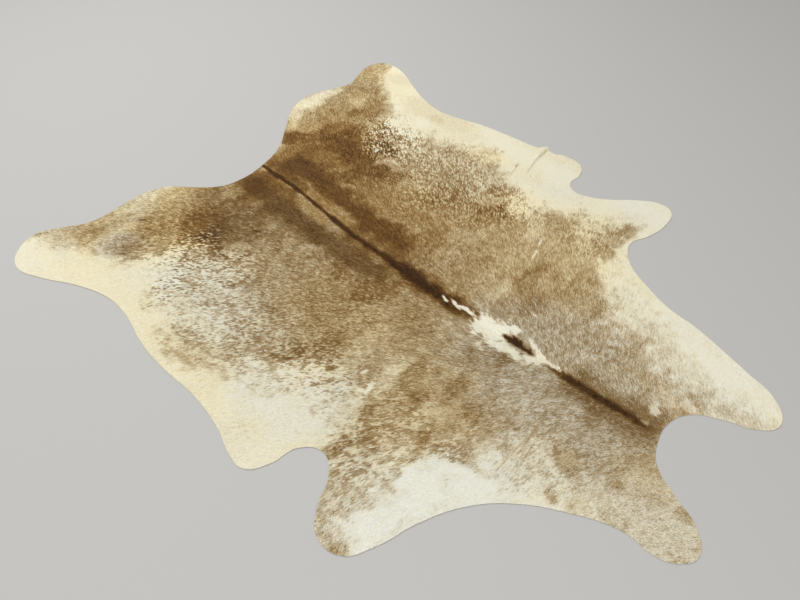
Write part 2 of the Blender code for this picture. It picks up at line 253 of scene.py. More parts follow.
# Patches of the coat: name, x, y, half width, half length, turn in degrees, value.
# The value here is how much dark hair there is, from 0, white, to 1, nearly black.
LEVEL_PATCHES = (
    ("left flank", -0.60, 0.38, 0.20, 0.30, 0, 0.30),
    ("left flank, pale", -0.68, 0.46, 0.09, 0.20, -10, 0.17),
    ("left flank, inner", -0.54, 0.51, 0.11, 0.09, 0, 0.22),
    ("left lower flank", -0.56, 0.16, 0.14, 0.08, 0, 0.36),
    ("left lower flank, inner", -0.48, 0.21, 0.05, 0.05, 0, 0.44),
    ("left flank, outer", -0.70, 0.20, 0.05, 0.12, 0, 0.25),
    ("left belly edge", -0.63, -0.02, 0.08, 0.13, 20, 0.135),
    ("left loin", -0.30, 0.28, 0.14, 0.22, 0, 0.47),
    ("left back", -0.34, 0.10, 0.16, 0.08, 0, 0.485),
    ("right loin", 0.20, 0.26, 0.13, 0.24, 0, 0.535),
    ("right back", 0.10, 0.03, 0.11, 0.09, 0, 0.57),
    ("right back, foot", 0.09, -0.01, 0.07, 0.04, 0, 0.60),
    ("right back, low brown", 0.31, 0.00, 0.06, 0.04, 0, 0.52),
    ("right back, dark", 0.10, 0.19, 0.05, 0.05, 0, 0.68),
    ("right flank", 0.46, 0.26, 0.15, 0.26, 0, 0.41),
    ("right back, outer", 0.35, 0.10, 0.07, 0.05, 0, 0.51),
    ("right loin, outer", 0.40, 0.42, 0.05, 0.05, 0, 0.49),
    ("right flank, pale", 0.60, 0.26, 0.07, 0.16, 0, 0.34),
    ("back", -0.02, -0.10, 0.34, 0.11, 0, 0.47),
    ("back, left foot", -0.18, -0.20, 0.07, 0.04, 0, 0.49),
    ("left shoulder", -0.34, -0.34, 0.26, 0.12, 0, 0.395),
    ("right shoulder", 0.28, -0.32, 0.26, 0.12, 0, 0.39),
    ("left neck, light", -0.31, -0.70, 0.06, 0.05, 0, 0.28),
    ("neck, left light", -0.20, -0.57, 0.06, 0.06, 0, 0.33),
    ("neck, lower", -0.03, -0.84, 0.24, 0.14, 0, 0.38),
    ("neck, lower right", 0.10, -0.90, 0.06, 0.05, 0, 0.29),
    ("neck, right brown", 0.09, -0.72, 0.05, 0.06, 0, 0.42),
    ("left thigh, tan", -0.52, 0.98, 0.20, 0.10, 0, 0.29),
    ("left hock, inner white", -0.80, 0.98, 0.04, 0.06, 30, 0.14),
    ("right thigh, tan", 0.50, 0.90, 0.26, 0.13, 0, 0.50),
    ("left hock, blush", -0.80, 1.08, 0.06, 0.09, 30, 0.24),
    ("left hock, tan", -0.72, 1.04, 0.08, 0.05, 0, 0.36),
    ("left hock, brown", -0.66, 1.035, 0.07, 0.03, -10, 0.46),
    ("left thigh, grey", -0.69, 0.94, 0.05, 0.06, 0, 0.29),
    ("left thigh, dark grey", -0.655, 0.88, 0.04, 0.045, 0, 0.39),
    ("left thigh, brown", -0.62, 0.845, 0.06, 0.025, -15, 0.50),
    ("left thigh, pale", -0.47, 1.05, 0.15, 0.035, 0, 0.20),
    ("left thigh, upper tan", -0.60, 1.00, 0.06, 0.03, 0, 0.36),
    ("left rump, tan", -0.42, 0.91, 0.15, 0.05, 0, 0.44),
    ("left thigh, inner", -0.53, 0.87, 0.07, 0.07, 0, 0.45),
    ("left thigh, foot", -0.54, 0.77, 0.07, 0.04, -30, 0.40),
    ("left rump, brown by the cut", -0.24, 0.88, 0.10, 0.06, 20, 0.58),
    ("left saddle", -0.33, 0.71, 0.16, 0.15, 0, 0.60),
    ("left saddle, outer brown", -0.42, 0.74, 0.05, 0.10, 20, 0.59),
    ("left saddle, upper brown", -0.37, 0.78, 0.08, 0.05, 0, 0.67),
    ("left saddle, lower brown", -0.35, 0.69, 0.08, 0.07, 0, 0.68),
    ("left saddle, foot", -0.27, 0.60, 0.09, 0.06, 0, 0.60),
    ("left rump, inner", -0.19, 0.80, 0.05, 0.07, 0, 0.38),
    ("left loin, upper", -0.23, 0.49, 0.06, 0.06, 0, 0.54),
    ("left loin, inner", -0.21, 0.31, 0.04, 0.06, 0, 0.53),
    ("left rump, golden", -0.22, 0.76, 0.045, 0.07, 0, 0.60),
    ("left white flecks", -0.62, 0.69, 0.11, 0.075, 0, 0.11),
    ("left white flecks, foot", -0.54, 0.62, 0.08, 0.05, 30, 0.24),
    ("left loin, brown", -0.41, 0.38, 0.08, 0.025, -30, 0.46),
    ("left loin, small brown", -0.30, 0.37, 0.04, 0.03, 0, 0.50),
    ("left loin, light", -0.40, 0.29, 0.05, 0.04, 0, 0.40),
    ("left loin, by the band", -0.215, 0.40, 0.035, 0.07, 0, 0.47),
    ("left margin, pale between spots", -0.745, 0.44, 0.02, 0.06, 0, 0.12),
    ("left margin, inner spots", -0.73, 0.33, 0.03, 0.07, 0, 0.29),
    ("left flank, brown", -0.67, 0.21, 0.04, 0.035, 0, 0.40),
    ("left flank, outer foot", -0.68, 0.09, 0.05, 0.06, 0, 0.16),
    ("left flank, lower brown", -0.56, 0.075, 0.06, 0.025, -30, 0.48),
    ("left flank, darkest", -0.535, 0.05, 0.035, 0.018, -25, 0.56),
    ("left ribs, brown", -0.42, 0.00, 0.07, 0.035, 0, 0.55),
    ("left back, brown", -0.17, 0.03, 0.10, 0.07, 0, 0.585),
    ("left back, upper brown", -0.18, 0.20, 0.05, 0.05, 0, 0.58),
    ("left ribs, pale", -0.38, -0.10, 0.11, 0.04, 0, 0.34),
    ("left belly tufts", -0.58, -0.09, 0.07, 0.09, 30, 0.09),
    ("left ribs, outer", -0.52, -0.12, 0.06, 0.05, 0, 0.20),
    ("left ribs, tan", -0.48, -0.16, 0.06, 0.02, 0, 0.38),
    ("left ribs, light", -0.40, -0.225, 0.11, 0.035, 0, 0.23),
    ("left ribs, tan by the star", -0.52, -0.215, 0.05, 0.03, 0, 0.37),
    ("left armpit", -0.60, -0.205, 0.09, 0.07, 0, 0.15),
    ("left elbow, brown", -0.55, -0.295, 0.05, 0.035, 0, 0.33),
    ("left ribs, lower brown", -0.34, -0.27, 0.07, 0.025, 0, 0.47),
    ("left elbow, tan", -0.62, -0.30, 0.06, 0.035, 0, 0.34),
    ("left elbow, lower tan", -0.57, -0.345, 0.05, 0.02, 0, 0.42),
    ("left elbow, outer spot", -0.655, -0.282, 0.05, 0.016, -6, 0.49),
    ("left elbow, round spot", -0.585, -0.313, 0.03, 0.024, 0, 0.50),
    ("left elbow, upper spot", -0.535, -0.262, 0.025, 0.02, 0, 0.50),
    ("left shoulder, small brown", -0.39, -0.34, 0.03, 0.025, 0, 0.50),
    ("left shank", -0.76, -0.40, 0.14, 0.08, 0, 0.26),
    ("left elbow, pale", -0.60, -0.41, 0.11, 0.04, 0, 0.22),
    ("left shoulder, light", -0.42, -0.40, 0.08, 0.03, 0, 0.28),
    ("left shoulder, tan", -0.44, -0.49, 0.07, 0.045, 0, 0.33),
    ("left shoulder, foot", -0.44, -0.53, 0.06, 0.045, 0, 0.33),
    ("left shoulder, upper spot", -0.285, -0.405, 0.065, 0.032, 0, 0.49),
    ("left shoulder, lower spot", -0.335, -0.49, 0.035, 0.03, 0, 0.50),
    ("left shoulder, little spot", -0.265, -0.515, 0.025, 0.02, 0, 0.42),
    ("left shoulder, outer spot", -0.47, -0.435, 0.035, 0.02, 0, 0.45),
    ("left shoulder, tan spot", -0.42, -0.475, 0.035, 0.03, 0, 0.43),
    ("left withers, spot", -0.17, -0.38, 0.03, 0.025, 0, 0.54),
    ("left withers, low spot", -0.115, -0.435, 0.03, 0.035, 0, 0.60),
    ("left shoulder, pale patch", -0.41, -0.61, 0.08, 0.06, 0, 0.12),
    ("left shank, white end", -0.80, -0.53, 0.08, 0.03, -25, 0.06),
    ("left shank, white", -0.69, -0.515, 0.15, 0.075, -14, 0.02),
    ("left forearm, white", -0.60, -0.545, 0.10, 0.085, -20, 0.02),
    ("left shank, white joint", -0.645, -0.495, 0.05, 0.05, 0, 0.02),
    ("left shoulder, white", -0.49, -0.66, 0.08, 0.12, 42, 0.03),
    ("left neck, white edge", -0.43, -0.75, 0.035, 0.08, 25, 0.08),
    ("left neck, pale", -0.37, -0.71, 0.07, 0.08, 0, 0.16),
    ("left neck, lower pale", -0.34, -0.79, 0.05, 0.06, 0, 0.20),
    ("left neck, spot", -0.26, -0.775, 0.035, 0.035, 0, 0.44),
    ("left neck, low pale", -0.32, -0.86, 0.06, 0.07, 0, 0.20),
    ("left cheek", -0.27, -1.04, 0.10, 0.14, 0, 0.20),
    ("left cheek, inner", -0.17, -1.00, 0.05, 0.10, 20, 0.26),
    ("right rump", 0.22, 0.72, 0.20, 0.22, 0, 0.69),
    ("right rump, outer", 0.40, 0.78, 0.09, 0.08, 0, 0.66),
    ("right rump, by the cut", 0.22, 0.92, 0.06, 0.06, 0, 0.72),
    ("right rump, inner", 0.12, 0.86, 0.08, 0.04, 0, 0.60),
    ("right thigh, light", 0.31, 0.93, 0.035, 0.07, 20, 0.43),
    ("right rump, upper brown", 0.28, 0.83, 0.07, 0.05, 0, 0.64),
    ("right saddle", 0.34, 0.73, 0.08, 0.11, -10, 0.74),
    ("right saddle, darkest", 0.30, 0.65, 0.06, 0.035, 20, 0.76),
    ("right rump, golden", 0.20, 0.71, 0.045, 0.07, 0, 0.62),
    ("right rump, light streak", 0.19, 0.615, 0.05, 0.018, -30, 0.54),
    ("right loin, brown", 0.28, 0.55, 0.09, 0.03, 0, 0.69),
    ("right loin, lower brown", 0.30, 0.48, 0.07, 0.06, 0, 0.71),
    ("right loin, foot", 0.32, 0.39, 0.05, 0.04, 0, 0.60),
    ("right loin, tan", 0.19, 0.44, 0.07, 0.05, 0, 0.60),
    ("right crest, tan", 0.37, 1.00, 0.12, 0.05, 0, 0.42),
    ("right crest", 0.46, 1.08, 0.16, 0.05, 0, 0.13),
    ("right crest, foot", 0.33, 1.04, 0.06, 0.035, 40, 0.20),
    ("right thigh, brown", 0.48, 0.97, 0.08, 0.035, 0, 0.49),
    ("right thigh, lower brown", 0.56, 0.86, 0.07, 0.04, 0, 0.60),
    ("right thigh, pale", 0.61, 0.93, 0.045, 0.06, -30, 0.34),
    ("right thigh, inner brown", 0.42, 0.83, 0.06, 0.03, 0, 0.60),
    ("right thigh, foot", 0.57, 0.795, 0.08, 0.03, 0, 0.54),
    ("right thigh, outer", 0.66, 0.84, 0.06, 0.04, 20, 0.50),
    ("right hock, brown", 0.71, 0.98, 0.09, 0.04, 15, 0.46),
    ("right hock, tan", 0.81, 1.03, 0.09, 0.05, 15, 0.42),
    ("right hock, end", 0.90, 1.03, 0.05, 0.05, 0, 0.37),
    ("right flecks", 0.50, 0.64, 0.08, 0.09, 0, 0.47),
    ("right flecks, inner", 0.42, 0.58, 0.05, 0.11, 10, 0.62),
    ("right flecks, lower", 0.52, 0.49, 0.06, 0.08, 0, 0.31),
    ("right flank, upper", 0.56, 0.41, 0.10, 0.04, 0, 0.35),
    ("right flecks, outer", 0.61, 0.57, 0.06, 0.14, 0, 0.09),
    ("right flank, upper pale", 0.64, 0.44, 0.05, 0.06, 0, 0.12),
    ("right flank, brown", 0.60, 0.355, 0.05, 0.025, 0, 0.39),
    ("right flank, grey brown", 0.47, 0.23, 0.06, 0.03, 20, 0.46),
    ("right flank, middle", 0.40, 0.20, 0.05, 0.05, 0, 0.49),
    ("right flank, inner", 0.31, 0.18, 0.05, 0.06, 0, 0.53),
    ("right flank, foot", 0.58, 0.09, 0.06, 0.05, 0, 0.30),
    ("right belly, blush", 0.68, 0.20, 0.045, 0.07, 0, 0.19),
    ("right belly, brown line", 0.713, 0.185, 0.012, 0.05, 0, 0.31),
    ("right back, pale", 0.03, 0.02, 0.02, 0.04, 0, 0.53),
    ("right ribs, brown", 0.43, -0.03, 0.05, 0.045, -20, 0.58),
    ("right ribs, inner brown", 0.36, -0.035, 0.04, 0.025, 0, 0.52),
    ("right ribs, small brown", 0.53, 0.045, 0.025, 0.03, 0, 0.48),
    ("right ribs, tan", 0.24, -0.10, 0.06, 0.03, 0, 0.43),
    ("right belly tufts", 0.53, -0.09, 0.06, 0.06, 30, 0.20),
    ("right elbow, brown", 0.53, -0.235, 0.055, 0.03, -20, 0.35),
    ("right ribs, light", 0.44, -0.20, 0.10, 0.035, 15, 0.25),
    ("right withers, grey", 0.10, -0.275, 0.07, 0.02, 0, 0.33),
    ("right shoulder, inner", 0.17, -0.40, 0.08, 0.045, 0, 0.55),
    ("left withers", -0.15, -0.40, 0.09, 0.05, 0, 0.48),
    ("right shoulder, brown", 0.20, -0.33, 0.10, 0.04, 0, 0.52),
    ("right shoulder, lower brown", 0.24, -0.42, 0.10, 0.05, 0, 0.50),
    ("right elbow, pale", 0.63, -0.33, 0.08, 0.06, 0, 0.21),
    ("right armpit, pale", 0.64, -0.23, 0.07, 0.05, 0, 0.12),
    ("right shoulder, tan", 0.42, -0.40, 0.10, 0.05, 0, 0.32),
    ("right withers", 0.10, -0.48, 0.10, 0.05, 0, 0.41),
    ("right shoulder, dark", 0.25, -0.39, 0.06, 0.035, 0, 0.44),
    ("right shoulder, lower dark", 0.29, -0.48, 0.05, 0.025, 0, 0.44),
    ("right shoulder, last brown", 0.27, -0.57, 0.05, 0.02, 0, 0.50),
    ("right neck, tan", 0.38, -0.54, 0.05, 0.03, 0, 0.30),
    ("right shank, spot", 0.665, -0.42, 0.03, 0.02, 0, 0.29),
    ("right elbow, white edge", 0.60, -0.505, 0.13, 0.035, 0, 0.05),
    ("right shoulder, white edge", 0.46, -0.545, 0.07, 0.08, -40, 0.09),
    ("right neck, pale", 0.33, -0.68, 0.10, 0.10, 20, 0.12),
    ("right neck, spot", 0.20, -0.80, 0.05, 0.05, 0, 0.27),
    ("right neck, lower pale", 0.29, -0.82, 0.09, 0.11, 0, 0.165),
    ("right cheek", 0.25, -1.03, 0.10, 0.17, 0, 0.14),
    ("right cheek, inner edge", 0.16, -1.05, 0.04, 0.12, 15, 0.19),
    ("right cheek, inner", 0.12, -0.96, 0.03, 0.04, 30, 0.20),
)

# The value here is how far the hair parts into white and dark tufts, from 0 to 1.
FLECK_PATCHES = (
    ("left flank", -0.58, 0.30, 0.18, 0.34, 0, 0.36),
    ("left loin", -0.28, 0.28, 0.17, 0.30, 0, 0.13),
    ("left back", -0.28, 0.03, 0.20, 0.12, 0, 0.13),
    ("left thigh", -0.50, 0.92, 0.24, 0.14, 0, 0.13),
    ("neck", -0.05, -0.66, 0.34, 0.20, 0, 0.13),
    ("left neck", -0.34, -0.74, 0.11, 0.13, 0, 0.24),
    ("left flecks", -0.58, 0.66, 0.14, 0.12, 30, 0.88),
    ("left inner flecks", -0.48, 0.54, 0.08, 0.10, 30, 0.58),
    ("right flecks", 0.53, 0.60, 0.12, 0.13, 20, 0.85),
    ("right lower flecks", 0.48, 0.48, 0.12, 0.10, 0, 0.70),
    ("right flank", 0.46, 0.25, 0.18, 0.22, 0, 0.38),
    ("left belly edge", -0.56, -0.06, 0.10, 0.12, 20, 0.45),
    ("right belly edge", 0.54, -0.05, 0.10, 0.14, 0, 0.42),
    ("left elbow", -0.62, -0.36, 0.16, 0.10, 0, 0.36),
    ("right elbow", 0.60, -0.36, 0.14, 0.12, 0, 0.25),
    ("left shoulder edge", -0.48, -0.52, 0.10, 0.06, 0, 0.42),
)

# The value here is how warm the hair is, from 0, grey, to 1, golden.
WARM_PATCHES = (
    ("left margin", -0.82, 0.40, 0.11, 0.60, 0, 0.62),
    ("left hock", -0.88, 1.05, 0.11, 0.14, 0, 0.52),
    ("left hock, inner white", -0.79, 1.00, 0.05, 0.06, 0, 0.30),
    ("left belly flap", -0.84, -0.08, 0.07, 0.10, 0, 0.52),
    ("right hock, margin", 0.84, 0.84, 0.10, 0.14, 0, 0.62),
    ("right shank", 0.80, -0.46, 0.12, 0.10, 0, 0.42),
    ("right armpit", 0.69, -0.20, 0.06, 0.12, 0, 0.36),
    ("right rump", 0.28, 0.78, 0.26, 0.24, 0, 0.88),
    ("right thigh, gold", 0.60, 0.90, 0.13, 0.11, 0, 0.78),
    ("right loin", 0.20, 0.25, 0.16, 0.28, 0, 0.76),
    ("right ribs", 0.42, -0.05, 0.14, 0.09, 0, 0.78),
    ("rump by the cut", 0.02, 0.78, 0.22, 0.14, 0, 0.80),
    ("right belly, blush", 0.69, 0.20, 0.05, 0.08, 0, 0.72),
    ("right hock, blush", 0.85, 1.03, 0.10, 0.07, 0, 0.80),
    ("right flecks, white", 0.56, 0.54, 0.11, 0.15, 0, 0.54),
    ("left rump, golden", -0.46, 0.80, 0.14, 0.14, 0, 0.92),
    ("left thigh, gold", -0.50, 0.98, 0.28, 0.12, 0, 0.90),
    ("left saddle, mauve", -0.28, 0.66, 0.10, 0.10, 0, 0.38),
    ("left flank, grey", -0.58, 0.42, 0.12, 0.24, 0, 0.34),
    ("left thigh, grey", -0.66, 0.91, 0.08, 0.07, 0, 0.34),
    ("left shank", -0.72, -0.40, 0.20, 0.09, 0, 0.38),
    ("left thigh, blush", -0.55, 1.00, 0.12, 0.05, 0, 0.62),
    ("left thigh, top edge", -0.45, 1.065, 0.13, 0.035, 0, 0.60),
    ("left belly, white", -0.69, 0.02, 0.08, 0.16, 0, 0.38),
    ("left belly, foot", -0.68, -0.12, 0.10, 0.05, 0, 0.40),
    ("left back", -0.28, 0.04, 0.18, 0.20, 0, 0.72),
    ("left shoulder", -0.32, -0.36, 0.26, 0.16, 0, 0.67),
    ("right shoulder", 0.35, -0.30, 0.30, 0.20, 0, 0.72),
    ("left shank, white", -0.62, -0.56, 0.28, 0.10, -20, 0.20),
    ("left armpit, white", -0.60, -0.15, 0.09, 0.08, 0, 0.36),
    ("withers, grey", -0.05, -0.47, 0.22, 0.20, 0, 0.16),
    ("neck", -0.08, -0.72, 0.34, 0.17, 0, 0.20),
    ("left neck, tan", -0.30, -0.72, 0.08, 0.08, 0, 0.36),
    ("right neck, white", 0.33, -0.90, 0.11, 0.30, 0, 0.40),
    ("right cheek", 0.19, -1.00, 0.07, 0.16, 10, 0.32),
    ("left cheek", -0.27, -1.03, 0.10, 0.16, 0, 0.34),
)

# Marks that stand out of the pattern: name, x, y, half width, half length, turn in
# degrees, level, warmth.
MARKS = (
    ("left tail spot", -0.102, 0.782, 0.046, 0.058, 10, 0.78, 0.75),
    ("left tail spot, foot", -0.115, 0.712, 0.04, 0.012, -10, 0.74, 0.60),
    ("right tail spot", 0.088, 0.735, 0.036, 0.062, 0, 0.76, 0.55),
    ("white tuft, upper", -0.046, -0.16, 0.0055, 0.016, -20, 0.06, 0.35),
    ("white tuft, middle", -0.036, -0.19, 0.006, 0.018, -15, 0.05, 0.35),
    ("white tuft, lower", -0.043, -0.21, 0.006, 0.014, -15, 0.05, 0.35),
    ("white tuft, foot", -0.032, -0.232, 0.006, 0.022, 20, 0.05, 0.35),
    ("white tuft, last", -0.034, -0.268, 0.005, 0.026, 5, 0.05, 0.35),
    ("white mark, head", -0.046, -0.322, 0.044, 0.04, 0, 0.00, 0.46),
    ("white mark, body", -0.04, -0.368, 0.054, 0.056, 0, 0.00, 0.44),
    ("white mark, left tuft", -0.118, -0.355, 0.016, 0.009, 35, 0.16, 0.40),
    ("white mark, left tuft, foot", -0.128, -0.374, 0.006, 0.012, 10, 0.18, 0.40),
    ("white mark, left edge", -0.08, -0.41, 0.016, 0.034, 8, 0.02, 0.40),
    ("white mark, left arm", -0.072, -0.45, 0.016, 0.048, -8, 0.06, 0.40),
    ("white mark, left foot", -0.06, -0.505, 0.013, 0.026, -15, 0.08, 0.40),
    ("white mark, right arm", 0.006, -0.402, 0.018, 0.032, 20, 0.02, 0.40),
    ("white mark, foot", -0.036, -0.53, 0.026, 0.024, 0, 0.06, 0.40),
    ("white mark, right foot", -0.006, -0.494, 0.009, 0.028, -25, 0.08, 0.40),
    ("grey by the white mark", 0.03, -0.33, 0.014, 0.03, -15, 0.47, 0.22),
    ("white mark, stem", -0.026, -0.572, 0.007, 0.034, 4, 0.12, 0.40),
    ("dark wedge", -0.032, -0.44, 0.016, 0.046, 3, 0.93, 0.22),
    ("dark wedge, point", -0.034, -0.49, 0.008, 0.028, 0, 0.90, 0.22),
    ("dark by the white stem", -0.04, -0.592, 0.006, 0.03, 4, 0.72, 0.25),
    ("white spot by the neck cut", 0.05, -0.885, 0.022, 0.016, 25, 0.20, 0.30),
    ("white tuft by the neck cut", -0.012, -0.88, 0.006, 0.014, 0, 0.42, 0.25),
    # Painted light along the left neck wrinkles: the pale lines are painted highlight and the
    # darker shade lines are painted shade.
    ("left neck wrinkle, upper", -0.33, -0.653, 0.08, 0.003, -3, 0.29, 0.45),
    ("left neck wrinkle, upper shade", -0.27, -0.66, 0.08, 0.003, 3, 0.42, 0.35),
    ("left neck wrinkle, lower", -0.345, -0.676, 0.06, 0.003, 6, 0.27, 0.45),
    ("left neck wrinkle, lower shade", -0.33, -0.684, 0.055, 0.003, 6, 0.36, 0.40),
    ("left neck, pinkish spot", -0.262, -0.775, 0.028, 0.028, 0, 0.36, 0.55),
    ("left scar, long", -0.527, 0.952, 0.0045, 0.018, 45, 0.72, 0.45),
    ("left scar, end", -0.515, 0.915, 0.009, 0.006, 45, 0.62, 0.45),
    ("left scar, short", -0.538, 0.888, 0.0035, 0.02, 20, 0.66, 0.45),
    ("left loin scar", -0.268, 0.572, 0.005, 0.018, 25, 0.80, 0.25),
    ("right pink tuft", 0.395, 0.585, 0.014, 0.008, 0, 0.18, 0.20),
    ("right dash", 0.335, -0.268, 0.024, 0.005, 12, 0.10, 0.45),
    ("right dash, end", 0.40, -0.25, 0.028, 0.004, 15, 0.12, 0.45),
    ("right belly, cream", 0.80, 0.16, 0.05, 0.20, 0, 0.015, 0.53),
    ("right margin, cream", 0.775, 0.56, 0.06, 0.23, 0, 0.11, 0.55),
    ("right hock, cream", 0.885, 0.90, 0.045, 0.08, 20, 0.11, 0.55),
    ("left margin spots", -0.785, 0.305, 0.01, 0.045, 4, 0.32, 0.62),
    ("left margin spots, foot", -0.752, 0.225, 0.007, 0.026, 0, 0.27, 0.58),
    ("right belly flap, cream", 0.79, -0.10, 0.08, 0.06, 0, 0.01, 0.48),
    ("right shank, cream", 0.82, -0.42, 0.05, 0.07, 30, 0.02, 0.38),
    ("right withers, white tuft", 0.102, -0.43, 0.005, 0.014, -10, 0.18, 0.40),
    # A slightly darker, warmer oval in the cream margin of the right flank.
    ("right flank stain", 0.752, 0.54, 0.022, 0.042, 0, 0.17, 0.62),
    ("right belly, grey speck", 0.757, 0.175, 0.008, 0.008, 0, 0.24, 0.20),
    # Painted shade: thin darker lines for a small crease by the pleat, which the sheet doesn't
    # lift, and along the steep foot of the pleat.
    ("small crease by the pleat", 0.685, 0.066, 0.0035, 0.045, -78, 0.22, 0.45),
    ("small crease, end", 0.722, 0.077, 0.004, 0.014, -75, 0.42, 0.35),
    ("pleat, shaded foot, inner", 0.755, 0.026, 0.0035, 0.055, -80, 0.22, 0.50),
    ("pleat, shaded foot, outer", 0.845, 0.036, 0.0035, 0.055, -88, 0.22, 0.50),
    ("right flank, dark speck", 0.378, 0.148, 0.018, 0.01, 30, 0.64, 0.45),
    ("left belly speck, upper", -0.50, -0.072, 0.018, 0.008, -35, 0.58, 0.55),
    ("left belly speck, outer", -0.573, -0.078, 0.01, 0.006, -35, 0.46, 0.45),
    ("left belly speck, lower", -0.53, -0.102, 0.009, 0.007, -35, 0.46, 0.45),
    ("left star", -0.474, -0.209, 0.034, 0.009, 8, 0.03, 0.48),
    ("left star, side", -0.492, -0.196, 0.008, 0.018, 30, 0.03, 0.48),
    ("left little star", -0.436, -0.158, 0.016, 0.007, -30, 0.08, 0.48),
)

# Bands beside the backbone: name, y at the tail end, y at the neck end, distance from it at
# either end, half width at either end, level, warmth, strength.
BACKBONE_BANDS = (
    ("dark band, left, tail", 0.92, 0.58, -0.115, -0.12, 0.056, 0.066, 0.78, 0.50, 0.85),
    ("dark band, left, middle", 0.68, 0.30, -0.12, -0.095, 0.055, 0.04, 0.76, 0.34, 0.90),
    ("dark band, left, lower", 0.42, 0.02, -0.09, -0.075, 0.044, 0.047, 0.73, 0.24, 0.84),
    ("dark band, right, upper", 0.86, 0.50, 0.098, 0.10, 0.053, 0.055, 0.81, 0.85, 0.85),
    ("dark band, right, lower", 0.58, 0.05, 0.105, 0.08, 0.049, 0.058, 0.81, 0.88, 0.87),
    ("golden strip, left", 0.90, 0.56, -0.044, -0.042, 0.022, 0.022, 0.71, 0.95, 0.82),
    ("golden strip, left, lower", 0.62, 0.38, -0.04, -0.034, 0.024, 0.018, 0.52, 1.00, 0.80),
    ("brown strip, right", 0.90, 0.56, 0.02, 0.02, 0.024, 0.018, 0.75, 0.85, 0.80),
    ("golden strip, right, lower", 0.62, 0.30, 0.022, 0.022, 0.02, 0.022, 0.59, 1.00, 0.75),
    ("brown by the back line", 0.38, -0.28, 0.006, -0.004, 0.055, 0.037, 0.73, 0.68, 0.77),
    ("dark line, tail", 0.95, 0.40, -0.011, -0.003, 0.008, 0.01, 0.93, 0.95, 0.92),
    ("dark line, loin", 0.50, 0.02, -0.004, 0.00, 0.01, 0.015, 0.93, 0.95, 0.93),
    ("dark streak, back", 0.13, -0.26, -0.002, 0.002, 0.02, 0.028, 0.94, 0.85, 0.93),
    ("dark streak, end", -0.14, -0.34, 0.006, 0.02, 0.034, 0.028, 0.78, 0.50, 0.85),
    ("brown by the neck line", -0.60, -0.97, -0.006, -0.012, 0.05, 0.08, 0.66, 0.00, 0.80),
    ("dark line, neck", -0.565, -0.93, -0.003, -0.008, 0.012, 0.017, 0.90, 0.04, 0.93),
)

# The parts of the coat, from the tail to the neck: name, y of its far end and of its near end.
COAT_PARTS = (
    ("coat_rump", 0.780, 1.500),
    ("coat_loin", 0.430, 0.780),
    ("coat_belly", 0.060, 0.430),
    ("coat_shoulders", -0.345, 0.060),
    ("coat_neck", -1.500, -0.345),
)

# The colours of the hair, from white to nearly black: pigment, red, green, blue.
HAIR_COLOURS = (
    (0.00, 237, 234, 217),
    (0.10, 228, 221, 192),
    (0.22, 212, 200, 170),
    (0.36, 186, 169, 135),
    (0.50, 158, 132, 88),
    (0.65, 125, 94, 50),
    (0.80, 86, 58, 25),
    (1.00, 30, 17, 7),
)
GREY_TINT = (0.905, 0.988, 1.22)
GOLD_TINT = (1.10, 1.003, 0.73)

# The coat's three fields: value before any patch, softness of the patches' edges, and how
# ragged those edges are.
LEVEL_FIELD = (0.40, 0.45, 1.0)
FLECK_FIELD = (0.05, 0.55, 1.0)
WARM_FIELD = (0.53, 0.60, 0.5)

# Soft noise in layers: size of its lumps in metres, strength, seed.
PATCH_EDGES = ((0.070, 0.80, 1), (0.022, 0.60, 2))
LEVEL_CLOUDS = ((0.060, 0.07, 3), (0.018, 0.10, 4))
MARGIN_EDGES = ((0.060, 0.05, 5), (0.020, 0.05, 6))
MARGIN_CLOUDS = ((0.100, 0.05, 7),)
MARK_EDGES = ((0.012, 0.60, 10),)
BAND_EDGES = ((0.040, 0.80, 12), (0.015, 0.30, 15))

# Tufts in layers: width and length of a tuft in metres, strength, seed.
BODY_TUFTS = ((0.0034, 0.006, 1.0, 8), (0.0065, 0.009, 0.7, 9))
FORE_TUFTS = ((0.0034, 0.008, 1.0, 13), (0.0070, 0.018, 0.6, 14))

# Where something sets in, and over what distance or range it grows to its full measure. The
# fore parts and the neck go by y, towards the neck. A leg goes by its distance from the
# hide's middle line and from LEG_MIDDLE, and brown hair by its level of pigment.
FORE_PARTS = (-0.12, 0.25)
LEG_ACROSS = (0.62, 0.25)
LEG_ALONG = (0.45, 0.20)
LEG_MIDDLE = 0.20
NECK_HAIR = (-0.20, 0.50)
BROWN_CLOUDS = (0.46, 0.15)
BROWN_HAIRS = (0.52, 0.12)

# How far a patch's ragged edge can reach, in its half widths, beside its softness.
PATCH_REACH = 1.9
MARK_SOFTNESS = 0.30
BAND_SOFTNESS = 0.65
BAND_FADE = 0.07
MARGIN_SOFTNESS = 0.09
MARGIN_LEVEL = 0.045

# Tufts: the level of white ones, the least level of dark ones and their step above the coat's
# level, how soft the change between the two is, and what fits a logistic spread to a normal one.
WHITE_TUFT = 0.03
DARK_TUFT = 0.60
DARK_STEP = 0.18
TUFT_SOFTNESS = 0.16
LOGISTIC_TO_NORMAL = 1.7

# How strongly tufts show in the plain coat, in a band and in the edge of a mark.
PLAIN_TUFTS = 0.042
BAND_TUFTS = 0.035
MARK_TUFTS = 0.14
# Clouds are this much weaker on brown hair, and flecks in the margins.
CLOUD_LOSS = 0.7
FLECK_LOSS = 0.6
# The levels at which tufts and single hairs show in full, and the warmth that pale hair keeps.
FULL_TUFTS = 0.12
FULL_HAIRS = 0.2
PALE_WARMTH = 0.32
# How clearly tufts show in the leather under the hair. In the hair itself it is 1.
GROUND_GRAIN = 0.4

